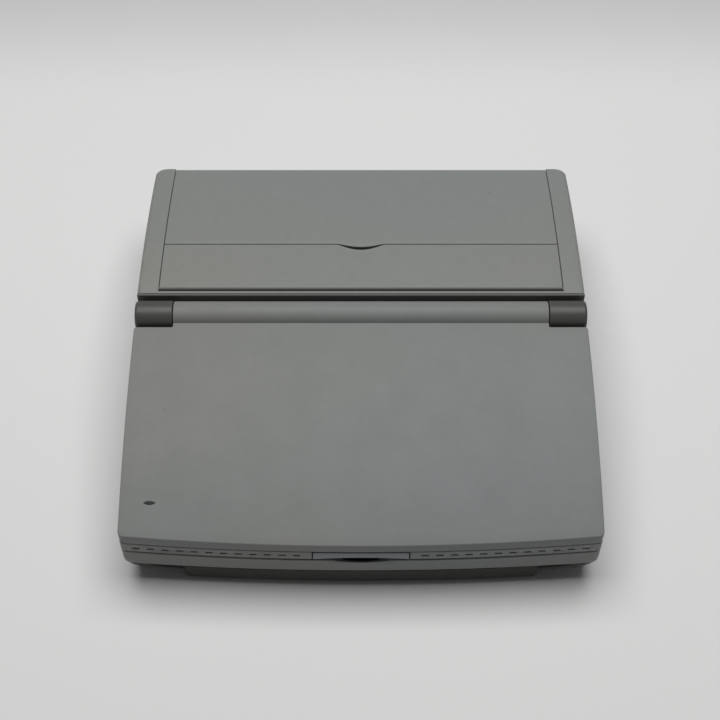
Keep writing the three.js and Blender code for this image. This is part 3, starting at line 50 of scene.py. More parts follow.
camera_place = (-0.7, -644.1, 881.6)
camera_tilt = 37.5
camera_data = bpy.data.cameras.new("camera")
camera_data.lens = 70
camera_data.sensor_width = 36
camera = bpy.data.objects.new("camera", camera_data)
camera.location = [place * MM for place in camera_place]
camera.rotation_euler = (math.radians(camera_tilt), 0, 0)
bpy.context.scene.collection.objects.link(camera)
bpy.context.scene.camera = camera
bpy.context.scene.view_settings.view_transform = "Standard"


# Lower case: the tray that carries everything, moulded in charcoal plastic with a bowl-shaped edge.
# Its outer rims are lightly rounded, as they leave the mould. All plastics here have the same kind of finish.
class Wire:
    """A shader value. A sum or product of wires and numbers adds the Math node that works it out."""

    def __init__(self, finish, socket):
        self.finish = finish
        self.socket = socket

    def math(self, operation, first, second):
        return self.finish.node("ShaderNodeMath", {"operation": operation}, {0: first, 1: second})

    def __add__(self, other):
        return self.math("ADD", self, other)

    def __radd__(self, other):
        return self.math("ADD", other, self)

    def __sub__(self, other):
        return self.math("SUBTRACT", self, other)

    def __rsub__(self, other):
        return self.math("SUBTRACT", other, self)

    def __mul__(self, other):
        return self.math("MULTIPLY", self, other)

    def __rmul__(self, other):
        return self.math("MULTIPLY", other, self)

    def step(self, low, high):
        """0 at low, 1 at high, with a smooth rise between; low may be the larger one."""
        return self.finish.node("ShaderNodeMapRange", {"interpolation_type": "SMOOTHSTEP"},
                                {"Value": self, "From Min": low, "From Max": high})


class Finish:
    """A material with one Principled BSDF, patterned from the object's own coordinates."""

    def __init__(self, name, **steady):
        self.material = bpy.data.materials.new(name)
        self.material.use_nodes = True
        self.tree = self.material.node_tree
        self.shader = self.tree.nodes["Principled BSDF"]
        self.set(**steady)
        self.place = self.node("ShaderNodeTexCoord", output="Object")

    def node(self, kind, settings=None, values=None, output=0):
        made = self.tree.nodes.new(kind)
        for name, value in (settings or {}).items():
            setattr(made, name, value)
        for name, value in (values or {}).items():
            self.put(made.inputs[name], value)
        return Wire(self, made.outputs[output])

    def put(self, socket, value):
        if isinstance(value, Wire):
            self.tree.links.new(value.socket, socket)
        else:
            socket.default_value = value

    def set(self, **values):
        for socket, value in values.items():
            self.put(self.shader.inputs[socket.replace("_", " ")], value)
        return self.material

    def noise(self, size, detail=2.0, stretch=(1, 1, 1)):
        """Noise around 0.5 with lumps about size metres across, divided by stretch in X, Y and Z."""
        place = self.node("ShaderNodeVectorMath", {"operation": "MULTIPLY"}, {0: self.place, 1: stretch})
        return self.node("ShaderNodeTexNoise", {}, {"Vector": place, "Scale": 1 / size, "Detail": detail})

    def blend(self, factor, first, second):
        return self.node("ShaderNodeMix", {"data_type": "RGBA"}, {0: factor, 6: first, 7: second}, output=2)

    def bump(self, height, depth):
        """A Bump node: height from 0 to 1 stands for depth metres."""
        return self.node("ShaderNodeBump", {}, {"Height": height, "Distance": depth})

    def along(self, axis):
        """The object's own coordinate along an axis, 0, 1 or 2, in metres."""
        return self.node("ShaderNodeSeparateXYZ", {}, {0: self.place}, output=axis)

    def spot(self, x, y, radius):
        """1 within radius metres of the upright line at x, y, and 0 outside."""
        flat = self.node("ShaderNodeVectorMath", {"operation": "MULTIPLY"}, {0: self.place, 1: (1, 1, 0)})
        reach = self.node("ShaderNodeVectorMath", {"operation": "DISTANCE"},
                          {0: flat, 1: (x, y, 0)}, output=1)
        return reach.step(radius, radius * 0.5)


def shade(red, green, blue):
    """A colour given as a picture shows it, from 0 to 255, as the light values that a shader takes."""
    levels = np.array((red, green, blue)) / 255
    light = np.where(levels <= 0.04045, levels / 12.92, ((levels + 0.055) / 1.055) ** 2.4)
    return (*light.tolist(), 1.0)


cloud_size = 0.19
mottle_size = 0.006
mottle_shade = 0.97
grain_size = 0.0007
gloss_size = 0.03
gloss_change = 0.16


def moulded(name, warm, cool, roughness, grain, gloss=0.35):
    """Moulded plastic: two close tones in broad clouds, finer mottle, an uneven gloss and a fine grain."""
    finish = Finish(name, Specular_IOR_Level=gloss)
    clouds = finish.noise(cloud_size, 0.5).step(0.2, 0.8)
    mottle = finish.noise(mottle_size, 2.0).step(0.25, 0.75)
    tone = finish.blend(clouds, shade(*warm), shade(*cool))
    darker = finish.blend(clouds, shade(*(mottle_shade * np.array(warm))),
                          shade(*(mottle_shade * np.array(cool))))
    finish.tone = finish.blend(mottle * 0.6, tone, darker)
    pits = finish.noise(grain_size, 1.0)
    uneven = finish.noise(gloss_size, 2.0) - 0.5
    finish.set(Base_Color=finish.tone, Roughness=roughness + gloss_change * uneven,
               Normal=finish.bump(pits, grain))
    return finish


def fitted(name, mesh, body, material, replaced=(), corner=35):
    """Makes the mesh a piece of that body, smooth but for edges of more than corner degrees."""
    mesh.materials.clear()
    mesh.materials.append(material)
    mesh.shade_smooth()
    mesh.set_sharp_from_angle(angle=math.radians(corner))
    piece = bpy.data.objects.new(name, mesh)
    bpy.context.scene.collection.objects.link(piece)
    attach(piece, body)
    if replaced:
        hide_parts(*replaced)
    return piece


merge_reach = 0.001
flat_angle = 0.5
sharp_angle = 40
cut_reach = 0.01


def softened(node, radius, chosen, steps=2, cuts=(), moved=None):
    """A copy of a CAD solid's mesh with some sharp outer edges rounded to radius millimetres.

    Its triangles are first merged into flat faces. chosen takes the two ends of each sharp edge, as
    arrays in millimetres, and says which edges are rounded. Then each cut (axis, place) divides the faces
    along a plane, and moved(points) says where its corners go.
    """
    work = bmesh.new()
    work.from_mesh(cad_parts[node].data)
    bmesh.ops.remove_doubles(work, verts=work.verts, dist=merge_reach * MM)
    bmesh.ops.dissolve_limit(work, angle_limit=math.radians(flat_angle), verts=work.verts, edges=work.edges)
    sharp = [edge for edge in work.edges
             if edge.is_manifold and edge.calc_face_angle_signed() > math.radians(sharp_angle)]
    ends = np.array([[tuple(vertex.co) for vertex in edge.verts] for edge in sharp]) / MM
    wanted = chosen(ends[:, 0], ends[:, 1])
    picked = [edge for edge, want in zip(sharp, wanted) if want]
    bmesh.ops.bevel(work, geom=picked, offset=radius * MM, offset_type="OFFSET", segments=steps,
                    profile=0.5, affect="EDGES", clamp_overlap=False)
    for axis, place in cuts:
        across = np.eye(3)[axis]
        bmesh.ops.bisect_plane(work, geom=work.verts[:] + work.edges[:] + work.faces[:],
                               dist=cut_reach * MM, plane_co=across * place * MM, plane_no=across)
    if moved:
        points = moved(np.array([tuple(vertex.co) for vertex in work.verts]) / MM)
        for vertex, point in zip(work.verts, points):
            vertex.co = point * MM
    mesh = bpy.data.meshes.new(node)
    work.to_mesh(mesh)
    work.free()
    return mesh


def longer(a, b, length):
    return np.linalg.norm(a - b, axis=1) > length


half_width = 165.0
half_depth = 169.0


def outside(points, reach):
    """Says which points lie within reach of the sides, the front or the rear of the machine."""
    x, y = np.abs(points[:, 0]), np.abs(points[:, 1])
    return (x > half_width - reach) | (y > half_depth - reach)


bow_radius = 2090.0


def bow(x):
    """How far the front edge lies back of its middle at x."""
    return bow_radius - np.sqrt(bow_radius ** 2 - x ** 2)


def rim(points, near, far):
    """1 for points within near of the sides or the bowed front, falling smoothly to 0 at far."""
    x, y = points[:, 0], points[:, 1]
    depth = np.minimum(half_width - np.abs(x), y - bow(x) + half_depth)
    share = np.clip((far - depth) / (far - near), 0, 1)
    return share * share * (3 - 2 * share)


def squared(points, old, new):
    """Points whose front corners, round to the old radius, are drawn out to the new and smaller one.

    About the old arc's centre each point moves along its own ray, by the ratio of the new outline's
    distance t to the old radius. t is old / cos or old / sin of the ray's angle along the straight
    stretches, and m (cos + sin) + sqrt(new^2 - m^2 (cos - sin)^2) with m = old - new along the new arc.
    """
    x, y = points[:, 0], points[:, 1]
    u = np.abs(x) - (half_width - old)
    v = bow(x) - y - (half_depth - old)
    angle = np.arctan2(np.maximum(v, 1e-9), np.maximum(u, 1e-9))
    c, s = np.cos(angle), np.sin(angle)
    m = old - new
    round_t = m * (c + s) + np.sqrt(np.maximum(new ** 2 - (m * (c - s)) ** 2, 0))
    t = np.where(s * old < c * m, old / c, np.where(c * old < s * m, old / s, round_t))
    grow = np.where((u > 0) & (v > 0), t / old - 1, 0)
    return points + np.stack((np.sign(x) * u * grow, -v * grow, 0 * x), 1)


flare_start = 140
flare_run = 15


def wider(points, amount):
    """Points near the rim moved out by amount, sideways and to the front, as far as the machine reaches.

    The move grows evenly from nothing at flare_start from the middle to all of it flare_run further out.
    """
    x, y, z = points.T
    x = x + np.clip((np.abs(x) - flare_start) / flare_run, 0, 1) * np.sign(x) * amount
    y = y - np.clip((-y - flare_start) / flare_run, 0, 1) * amount
    x = np.clip(x, -half_width, half_width)
    return np.stack((x, np.maximum(y, bow(x) - half_depth), z), 1)


split_height = 23.0
bowl_radius = 13.0
bowl_foot = 3.5
handle_half = 124.8
tray_lean = 1.9
tray_flare = 1.4
solid_corner = 14.0
tray_corner = 4.0
lip_height = 17.6
lip_reach = 20.0
rise_fade = 8
brow_depth = 2.2
brow_foot = 17
brow_reach = 10


def tray(points):
    """The photograph's tray: square front corners, an underside that rises to the front, and a brow.

    Beside the handle the underside is a straight slope from lip_height at the front edge down to the
    foot over lip_reach. All points over it rise by as much as the bowl lies under that slope there, and
    less and less over the last rise_fade below the split. The brow over the handle steps back a little.
    """
    x, y, z = points.T
    depth = y - bow(x) + half_depth
    drawn = bowl_radius - np.clip(depth - tray_lean, 0, bowl_radius)
    bowl = bowl_foot + bowl_radius - np.sqrt(bowl_radius ** 2 - drawn ** 2)
    slope = lip_height - (lip_height - bowl_foot) * np.clip(depth / lip_reach, 0, 1)
    beside = (np.abs(x) > handle_half - 0.1) * (depth < lip_reach)
    rise = np.maximum(slope - bowl, 0) * beside * np.clip((split_height - z) / rise_fade, 0, 1)
    over = (np.abs(x) < handle_half) * (z > brow_foot) * (z < split_height + 0.1)
    brow = brow_depth * over * (y < brow_reach - half_depth)
    points = wider(squared(points, solid_corner, tray_corner), tray_flare)
    return points + np.stack((0 * x, brow, rise), 1)


charcoal = moulded("charcoal_plastic", (50, 48, 46), (46, 46, 46), 0.55, 0.00003)
tray_edge = 0.4
tray_cuts = [(2, height) for height in (20.0, 17.4, 14.0, 11.0, 8.0)]
tray_cuts += [(0, side * across) for across in (148.0, handle_half) for side in (-1, 1)]
tray_cuts += [(1, -152.0), (1, -142.5)]
tray_shell = softened("lower_case", tray_edge, lambda a, b: outside(a, 2.2) & outside(b, 2.2)
                      & longer(a, b, 4), cuts=tray_cuts, moved=tray)
fitted("lower_case_shell", tray_shell, "base", charcoal.material, ["lower_case"])


# Feet and battery door: four round moulded rubber pads on the tray, and the door of the battery bay.
# The rubber is dull, with dust in its pores; the door is of the tray's own plastic.
rubber = moulded("black_rubber", (34, 34, 35), (29, 29, 30), 0.85, 0.00005, 0.2)


def dress(material, *nodes):
    """Gives CAD pieces that keep their own mesh a better finish."""
    for node in nodes:
        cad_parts[node].material_slots[0].material = material


class Skin:
    """Grids of points in millimetres, gathered into one closed mesh in metres."""

    def __init__(self):
        self.points = []
        self.faces = []
        self.count = 0

    def grid(self, points, around=False):
        """Joins rows of points by quads. around also joins the last point of each row to its first."""
        rows, columns = points.shape[:2]
        number = np.arange(rows * columns).reshape(rows, columns) + self.count
        if around:
            number = np.concatenate((number, number[:, :1]), axis=1)
        corners = (number[:-1, :-1], number[:-1, 1:], number[1:, 1:], number[1:, :-1])
        self.points.append(points.reshape(-1, 3))
        self.faces.append(np.stack(corners, axis=-1).reshape(-1, 4))
        self.count += rows * columns
        return self

    def mesh(self, name):
        """One mesh of all grids, with equal points merged and the faces turned outwards."""
        mesh = bpy.data.meshes.new(name)
        mesh.from_pydata((np.concatenate(self.points) * MM).tolist(), [], np.concatenate(self.faces).tolist())
        work = bmesh.new()
        work.from_mesh(mesh)
        bmesh.ops.remove_doubles(work, verts=work.verts, dist=2 * merge_reach * MM)
        bmesh.ops.recalc_face_normals(work, faces=work.faces)
        work.to_mesh(mesh)
        work.free()
        return mesh


def turned(profile, axis, centre, steps=48):
    """A surface of revolution: profile lists places along the axis (0, 1 or 2) and the radius at each."""
    along, radius = np.array(profile, float).T
    angle = np.linspace(0, 2 * math.pi, steps, endpoint=False)
    points = np.empty((len(along), steps, 3))
    points[..., axis] = along[:, None]
    points[..., (axis + 1) % 3] = radius[:, None] * np.cos(angle)
    points[..., (axis + 2) % 3] = radius[:, None] * np.sin(angle)
    return points + np.array(centre, float)


def rounded(corners, radius, steps=5):
    """An open line of corners in which an arc that touches both sides replaces each inner corner."""
    line = np.array(corners, float)
    points = [line[:1]]
    for before, corner, after in zip(line, line[1:], line[2:]):
        first, second = before - corner, after - corner
        room = 0.48 * min(np.linalg.norm(first), np.linalg.norm(second))
        first, second = first / np.linalg.norm(first), second / np.linalg.norm(second)
        half = 0.5 * math.acos(np.clip(first @ second, -1, 1))
        reach = min(radius / math.tan(half), room)
        bisector = (first + second) / np.linalg.norm(first + second)
        centre = corner + bisector * reach / math.cos(half)
        share = np.linspace(0, 1, steps + 1)[:, None]
        sweep = math.pi - 2 * half
        points.append(centre + ((corner + first * reach - centre) * np.sin((1 - share) * sweep)
                                + (corner + second * reach - centre) * np.sin(share * sweep))
                      / math.sin(sweep))
    points.append(line[-1:])
    return np.concatenate(points)


foot_radius = 7.0
foot_top = 3.4
foot_draft = 0.6
foot_edge = 0.8
foot_dimple = 0.5
dimple_floor = 2.4
dimple_rim = 3.0
for foot in ("foot_front_left", "foot_front_right", "foot_rear_left", "foot_rear_right"):
    low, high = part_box(foot)
    middle = ((low + high) / 2 / MM)[:2]
    side = rounded([(0, 0), (0, foot_radius - foot_draft), (foot_top, foot_radius), (foot_top, 0)], foot_edge)
    dimple = [(foot_dimple, 0), (foot_dimple, dimple_floor), (0, dimple_rim)]
    profile = np.concatenate((dimple, side[1:]))
    pad = Skin().grid(turned(profile, 2, (*middle, 0)), around=True)
    fitted(foot + "_pad", pad.mesh(foot), "base", rubber.material, [foot])

dress(charcoal.material, "battery_cover")


# Electronics inside: battery pack, disk drive, socket, switch and boards.
# The boards are green with copper tracks under the varnish; the chips and cans on them are dark.
black = moulded("black_plastic", (36, 37, 38), (31, 32, 34), 0.5, 0.00002)
dress(black.material, "battery_pack", "floppy_drive", "floppy_button", "power_switch", "dc_inlet",
      "paper_chute", "carriage", "ribbon_cassette", "paper_bail", "display_panel")

board_thickness = 1.6
for node, height in (("main_board", 16.8), ("power_board", 11.0), ("inverter_board", 90.0)):
    board = Finish(node + "_varnish", Specular_IOR_Level=0.5)
    tracks = board.noise(0.0024, 0.0, (1, 6, 1)).step(0.52, 0.56)
    varnish = board.blend(tracks, shade(30, 84, 58), shade(52, 116, 78))
    face = height + board_thickness
    above = board.along(2).step((face + 0.02) * MM, (face + 0.1) * MM)
    colour = board.blend(above, varnish, shade(33, 33, 35))
    dress(board.set(Base_Color=colour, Roughness=0.4 + 0.2 * board.noise(0.01),
                    Normal=board.bump(tracks, 0.00003)), node)


# Upper case: keyboard deck, hinge trough and printer housing in one light grey moulding.
# The arched top of the housing, its rear corners and the deck's rim are rounded along their edges.
apex_y = 30.0
hinge_y = 8.0
hinge_z = 85.0
housing_rise = 8.1
housing_radius = 600.1
housing_front = 22
side_foot = 30
scoop_half = 20.0


def arch(y, rise, radius):
    """Height of the arched top: a circle of that radius whose crown is rise above the hinge axis."""
    return hinge_z + rise - radius + np.sqrt(radius ** 2 - (y - apex_y) ** 2)


def housing_top(y):
    return arch(y, housing_rise, housing_radius)


def on_case(points):
    """Says which points are on the housing's arched top or on the case's outer faces."""
    x, y, z = points.T
    top = (y > housing_front) & (np.abs(z - housing_top(y)) < 0.12)
    sides = (np.abs(x) > half_width - 0.6) | (y > half_depth - 0.6) | (y < bow(x) + 0.6 - half_depth)
    scoop = (np.abs(x) < scoop_half + 0.5) & (y < 0)
    return top | (sides & (z > side_foot) & ~scoop)


def grey_case(name, specks=(), warm=(128, 129, 124), cool=(125, 129, 128)):
    """The light grey plastic of the case, with specks of dirt at places in millimetres."""
    finish = moulded(name, warm, cool, 0.55, 0.00003)
    colour = finish.tone
    for x, y, radius in specks:
        colour = finish.blend(0.8 * finish.spot(x * MM, y * MM, radius * MM), colour, shade(62, 60, 56))
    finish.set(Base_Color=colour)
    return finish.material


case_grey = grey_case("case_plastic")
deck_front = 39.5
deck_rear = 69.0
deck_reach = 163.0
rim_drop = 3.5
rim_full = 5
rim_none = 12
case_lean = 1.5
case_corner = 4.5
scoop_rim = -168.2
scoop_run = 6.2
scoop_fall = 1.5


def lowered(y, drop):
    """How far the rim lies under the deck's plane at y: drop at the front, nothing at the hinge."""
    return drop * np.clip(1 - (y + half_depth) / deck_reach, 0, 1)


def deck_plane(y):
    return deck_front + (y + half_depth) * (deck_rear - deck_front) / deck_reach


def deck_case(points):
    """The photograph's upper case: squarer corners, sides that lean less, and a rim that falls off.

    Points in the finger hollow sink by scoop_fall times their depth, in full at scoop_run behind its rim.
    """
    x, y, z = points.T
    height = np.clip((z - split_height) / (deck_plane(y) - split_height), 0, 1)
    fall = lowered(y, rim_drop) * rim(points, rim_full, rim_none) * height * (z < deck_plane(y) + 1)
    depth = np.clip(deck_plane(y) - z - 0.2, 0, None) * (z > split_height + 4) * (np.abs(x) < scoop_half)
    run = np.clip((y - scoop_rim) / scoop_run, 0, 1) * (y < scoop_rim + scoop_run + 1)
    fall = fall + scoop_fall * depth * run
    flare = case_lean * np.clip((deck_front - z) / (deck_front - split_height), 0, 1)
    points = wider(squared(points, solid_corner, case_corner), flare)
    return points - np.stack((0 * x, 0 * y, fall), 1)


case_edge = 0.5
rim_cuts = [(1, scoop_rim)]
rim_cuts += [(0, side * across) for across in (160.0, 153.0, scoop_half + 1) for side in (-1, 1)]
rim_cuts += [(1, -163.5), (1, -157.0), (1, -151.0)]
case_shell = softened("upper_case", case_edge, lambda a, b: on_case(a) & on_case(b) & longer(a, b, 3),
                      cuts=rim_cuts, moved=deck_case)
fitted("upper_case_shell", case_shell, "base", case_grey, ["upper_case"])


# Keyboard: keycaps with dished tops on a dark plate, letters in pale grey and the others in mid grey.
# Five caps move with bodies of their own; each cap is a rounded rectangle drawn in towards its top.
deck_angle = math.atan2(deck_rear - deck_front, deck_reach)
deck_length = math.hypot(deck_rear - deck_front, deck_reach)
well_front = 17.0
well_rear = 37.4
well_margin = 1.6
field_half = 138.0
columns = 15
key_pitch = 2 * field_half / columns
key_gap = 1.4
key_taper = 2.2
key_height = 9.9
key_top = 2.8
key_edge = 0.9
key_corner = 1.0
key_dish = 0.5
cap_lift = 3.5
stem_half = 3
stem_depth = 4.9
stem_corner = 0.6
plate_top = key_top - key_height
plate_thickness = 2
plate_side = 6.6
plate_end = 5
key_rows = [
    ([1.5, 1.5, 1.5, 3, 3, 1.5, 1.5, 1.5], {3: "key_thumb_left", 4: "key_thumb_right"}),
    ([2.25, 1, 1, 1, 1, 1, 1, 1, 1, 1, 1, 2.75], {0: "key_shift_left", 11: "key_shift_right"}),
    ([1.75, 1, 1, 1, 1, 1, 1, 1, 1, 1, 1, 1, 2.25], {12: "key_return"}),
    ([1.5, 1, 1, 1, 1, 1, 1, 1, 1, 1, 1, 1, 1, 1.5], {}),
    ([1] * columns, {}),
    ([1.5] + [1.2] * 10 + [1.5], {})]
row_pitch = (deck_length - well_front - 2 * well_margin - well_rear) / len(key_rows)


def on_deck(points):
    """Turns places on the deck (across, up the slope, square to it) into places in the machine."""
    x, y, z = np.moveaxis(points, -1, 0)
    cosine, sine = math.cos(deck_angle), math.sin(deck_angle)
    return np.stack((x, y * cosine - z * sine - half_depth, y * sine + z * cosine + deck_front), -1)


def rounded_box(x0, x1, y0, y1, radius, steps=4):
    """A rectangle with round corners, drawn anticlockwise from above."""
    quarter = np.linspace(0, math.pi / 2, steps + 1)
    turns = [(x1 - radius, y0 + radius, -1), (x1 - radius, y1 - radius, 0), (x0 + radius, y1 - radius, 1),
             (x0 + radius, y0 + radius, 2)]
    return np.concatenate([np.stack((x + radius * np.cos(quarter + turn * math.pi / 2),
                                     y + radius * np.sin(quarter + turn * math.pi / 2)), -1)
                           for x, y, turn in turns])


def keycap(x0, x1, y0, y1, base, top):
    """Rings from the skirt's foot up to a rounded shoulder and in over a top dished across its width.

    The dish is key_dish (1 - (across / reach)^2) (1 - share^4), where share is 1 at the shoulder.
    """
    turn = np.linspace(0, math.pi / 2, 5)
    shoulder = [(key_taper + key_edge * (1 - math.cos(t)), top - key_edge * (1 - math.sin(t)), 1.0)
                for t in turn]
    rings = [(0, base, 0.0), (0, base, 1.0), (0.15, base + 0.6, 1.0), *shoulder]
    outer = rounded_box(x0, x1, y0, y1, key_corner)
    centre = np.array(((x0 + x1) / 2, (y0 + y1) / 2 - key_taper / 4))
    size = np.array((x1 - x0, y1 - y0))
    rows = []
    for inset, z, share in rings:
        flat = centre + (outer - centre) * (1 - 2 * inset / size) * share
        rows.append(np.concatenate((flat, np.full((len(flat), 1), z)), 1))
    rim = rows[-1][:, :2]
    reach = (x1 - x0) / 2 - key_taper - key_edge
    for share in (0.92, 0.75, 0.5, 0.25, 0.0):
        flat = centre + (rim - centre) * share
        across = np.minimum(np.abs(flat[:, :1] - centre[0]) / reach, 1)
        rows.append(np.concatenate((flat, top - key_dish * (1 - across ** 2) * (1 - share ** 4)), 1))
    return on_deck(np.stack(rows))


def box_rings(x0, x1, y0, y1, z0, z1, radius):
    """A closed block with round upright corners, as rings: middle, foot, head and middle again."""
    flat = rounded_box(x0, x1, y0, y1, radius)
    centre = flat.mean(0)
    rows = [(centre + 0 * flat, z0), (flat, z0), (flat, z1), (centre + 0 * flat, z1)]
    return np.stack([np.concatenate((ring, np.full((len(ring), 1), z)), 1) for ring, z in rows])


key_pale = moulded("key_pale", (196, 195, 186), (190, 191, 184), 0.55, 0.00002)
key_mid = moulded("key_mid", (126, 128, 124), (120, 123, 121), 0.55, 0.00002)
pale_caps, mid_caps = Skin(), Skin()
for row, (shares, names) in enumerate(key_rows):
    edges = np.cumsum([0.0] + shares) * key_pitch - field_half
    low = well_front + well_margin + row * row_pitch + key_gap / 2
    for column, share in enumerate(shares):
        place = (edges[column] + key_gap / 2, edges[column + 1] - key_gap / 2,
                 low, low + row_pitch - key_gap)
        if column in names:
            name = names[column]
            cap = Skin().grid(keycap(*place, plate_top + cap_lift, key_top), around=True)
            across, up = (place[0] + place[1]) / 2, (place[2] + place[3]) / 2
            stem = box_rings(across - stem_half, across + stem_half, up - stem_half, up + stem_half,
                             plate_top - stem_depth, plate_top + cap_lift + 0.3, stem_corner)
            cap.grid(on_deck(stem), around=True)
            finish = key_pale if share == 3 else key_mid
            fitted(name + "_cap", cap.mesh(name), name, finish.material, [name])
        else:
            pale = row in (1, 2, 3, 4) and share == 1
            (pale_caps if pale else mid_caps).grid(keycap(*place, plate_top, key_top), around=True)
plate = box_rings(-field_half - plate_side, field_half + plate_side, well_front - plate_end,
                  deck_length - well_rear + plate_end, plate_top - plate_thickness, plate_top, 2)
for name, skin, material in (
        ("key_plate", Skin().grid(on_deck(plate), around=True), charcoal.material),
        ("letter_caps", pale_caps, key_pale.material), ("other_caps", mid_caps, key_mid.material)):
    fitted(name, skin.mesh(name), "base", material, ["keyboard_plate"])


# Lid hinge: dark caps that stand on the trough beside the barrel, the strip behind it and steel shafts.
# A cap is a half-round block, its outer end well rounded.
cap_inner = 137.5
cap_radius = 11.2
cap_foot = -15.7
cap_edge = 2.2
cap_chamfer = 0.35
cap_turn = np.linspace(-0.06, math.pi + 0.06, 41)
turn_over = np.linspace(0, math.pi / 2, 8)
cap_rings = [(cap_inner, cap_radius), (cap_inner, cap_chamfer), (cap_inner + cap_chamfer, 0.0)]
cap_rings += [(half_width - cap_edge * (1 - math.sin(t)), cap_edge * (1 - math.cos(t))) for t in turn_over]
cap_rings += [(half_width, cap_radius)]


def hinge_cap(side):
    """Carries a half-round section along X: its height and half width shrink by an inset at both ends."""
    rows = []
    for x, inset in cap_rings:
        reach = cap_radius - inset
        y = np.concatenate(([reach], reach * np.cos(cap_turn), [-reach]))
        z = np.concatenate(([cap_foot], reach * np.sin(cap_turn), [cap_foot]))
        if reach <= 0:
            z = 0 * z + cap_foot / 2
        rows.append(np.stack((np.full(len(y), side * x), y + hinge_y, z + hinge_z), 1))
    return Skin().grid(np.stack(rows), around=True)


cap_plastic = moulded("cap_plastic", (62, 62, 60), (59, 59, 58), 0.42, 0.00002, 0.4)
for word, side in (("left", -1), ("right", 1)):
    fitted("hinge_cap_cover_" + word, hinge_cap(side).mesh("hinge_cap_" + word), "base",
           cap_plastic.material, ["hinge_cap_" + word])
# Painted light: the strip behind the barrel is the caps' charcoal made lighter, for light that its upright
# face does not get.
trim_painted_light = moulded("trim_painted_light", (94, 94, 91), (90, 91, 89), 0.5, 0.00002)
dress(trim_painted_light.material, "hinge_trim")

steel = Finish("zinc_steel", Metallic=1.0, Specular_IOR_Level=0.5)
streaks = steel.noise(0.004, 3.0, (0.05, 1, 1))
steel.set(Base_Color=steel.blend(streaks, shade(178, 181, 184), shade(150, 153, 156)),
          Roughness=0.3 + 0.2 * steel.noise(0.02), Normal=steel.bump(streaks, 0.00001))
dress(steel.material, "hinge_clutch_left", "hinge_clutch_right", "latch_pin", "printer_chassis",
      "guide_shaft", "feed_motor", "carriage_motor", "motor_pinion", "print_head")


# Case screws: a pan head in each of the six wells under the tray, with a cross recess for the driver.
# The two at the front sit higher, because the tray's underside rises there.
screw_radius = 2.7
screw_height = 1.3
screw_seat = 4.7
front_lift = 2.1
screw_across = 143.0
screw_rows = [(-147.0, screw_seat + front_lift), (8.0, screw_seat), (147.0, screw_seat)]
recess_depth = 0.9
recess_share = 0.62
recess_width = 0.16


def screw_head(x, y, seat):
    """A pan head that faces down, its middle pressed in along a cross.

    On a polar grid the recess is depth (1 - r / reach)^0.5 times exp(-(a b / width)^2), with a and b
    the two distances from the middle in millimetres.
    """
    share = np.linspace(0, 1, 13)
    height = np.interp(share, [0, 0.7, 0.85, 0.95, 1], [1.0, 0.93, 0.75, 0.4, 0.0])[:, None] * screw_height
    angle = np.linspace(0, 2 * math.pi, 48, endpoint=False)
    a = screw_radius * share[:, None] * np.cos(angle)
    b = screw_radius * share[:, None] * np.sin(angle)
    reach = np.sqrt(np.clip(1 - share[:, None] / recess_share, 0, 1))
    height = height - recess_depth * reach * np.exp(-(a * b / recess_width) ** 2)
    face = np.stack((x + a, y + b, seat - height), -1)
    back = np.stack((x + 0 * a[:1], y + 0 * b[:1], seat + 0 * a[:1]), -1)
    return np.concatenate((face, back))


screws = Skin()
for side in (-1, 1):
    for y, seat in screw_rows:
        screws.grid(screw_head(side * screw_across, y, seat), around=True)
fitted("case_screws", screws.mesh("case_screws"), "base", steel.material)


# Printer: rubber platen, white acetal gears and pulleys, toothed belt.
# They keep their CAD shapes, which have the real teeth.
acetal = moulded("white_acetal", (222, 220, 210), (214, 213, 204), 0.4, 0.00001)
dress(acetal.material, "platen_gear", "idler_gear", "drive_pulley", "idler_pulley")
dress(rubber.material, "platen_roller", "carriage_belt", "lid_bumper_left", "lid_bumper_right")


# Covers over the printer: the rear flap with its smile-shaped tab and the front flap with the dish
# under it. Both are thin mouldings that follow the housing's arch, with lightly rounded edges.
panel_half = 149.2
panel_thickness = 2.6
panel_edge = 0.45
split_y = 73.4
split_gap = 0.6
tab_half = 17.5
tab_depth = 3.2
notch_depth = 5.6
dish_reach = 15.0
dish_depth = 1.5


def edge_steps(radius, steps=4):
    """Distances from an edge at which a quarter circle of that radius is cut into equal turns."""
    return radius * (1 - np.cos(np.linspace(0, math.pi / 2, steps + 1)))


def lines_between(low, high, radius, spans):
    """Grid lines from low to high, spans wide steps apart and close together over both round edges."""
    near = edge_steps(radius)
    middle = np.linspace(low + radius, high - radius, spans + 1)[1:-1]
    return np.concatenate((low + near, middle, (high - near)[::-1]))


def edge_drop(first, second, radius):
    """How far a round edge falls at these distances from two edges: a quarter circle, or its corner."""
    near = np.maximum(radius - first, 0) ** 2 + np.maximum(radius - second, 0) ** 2
    return radius - np.sqrt(np.maximum(radius ** 2 - near, 0))


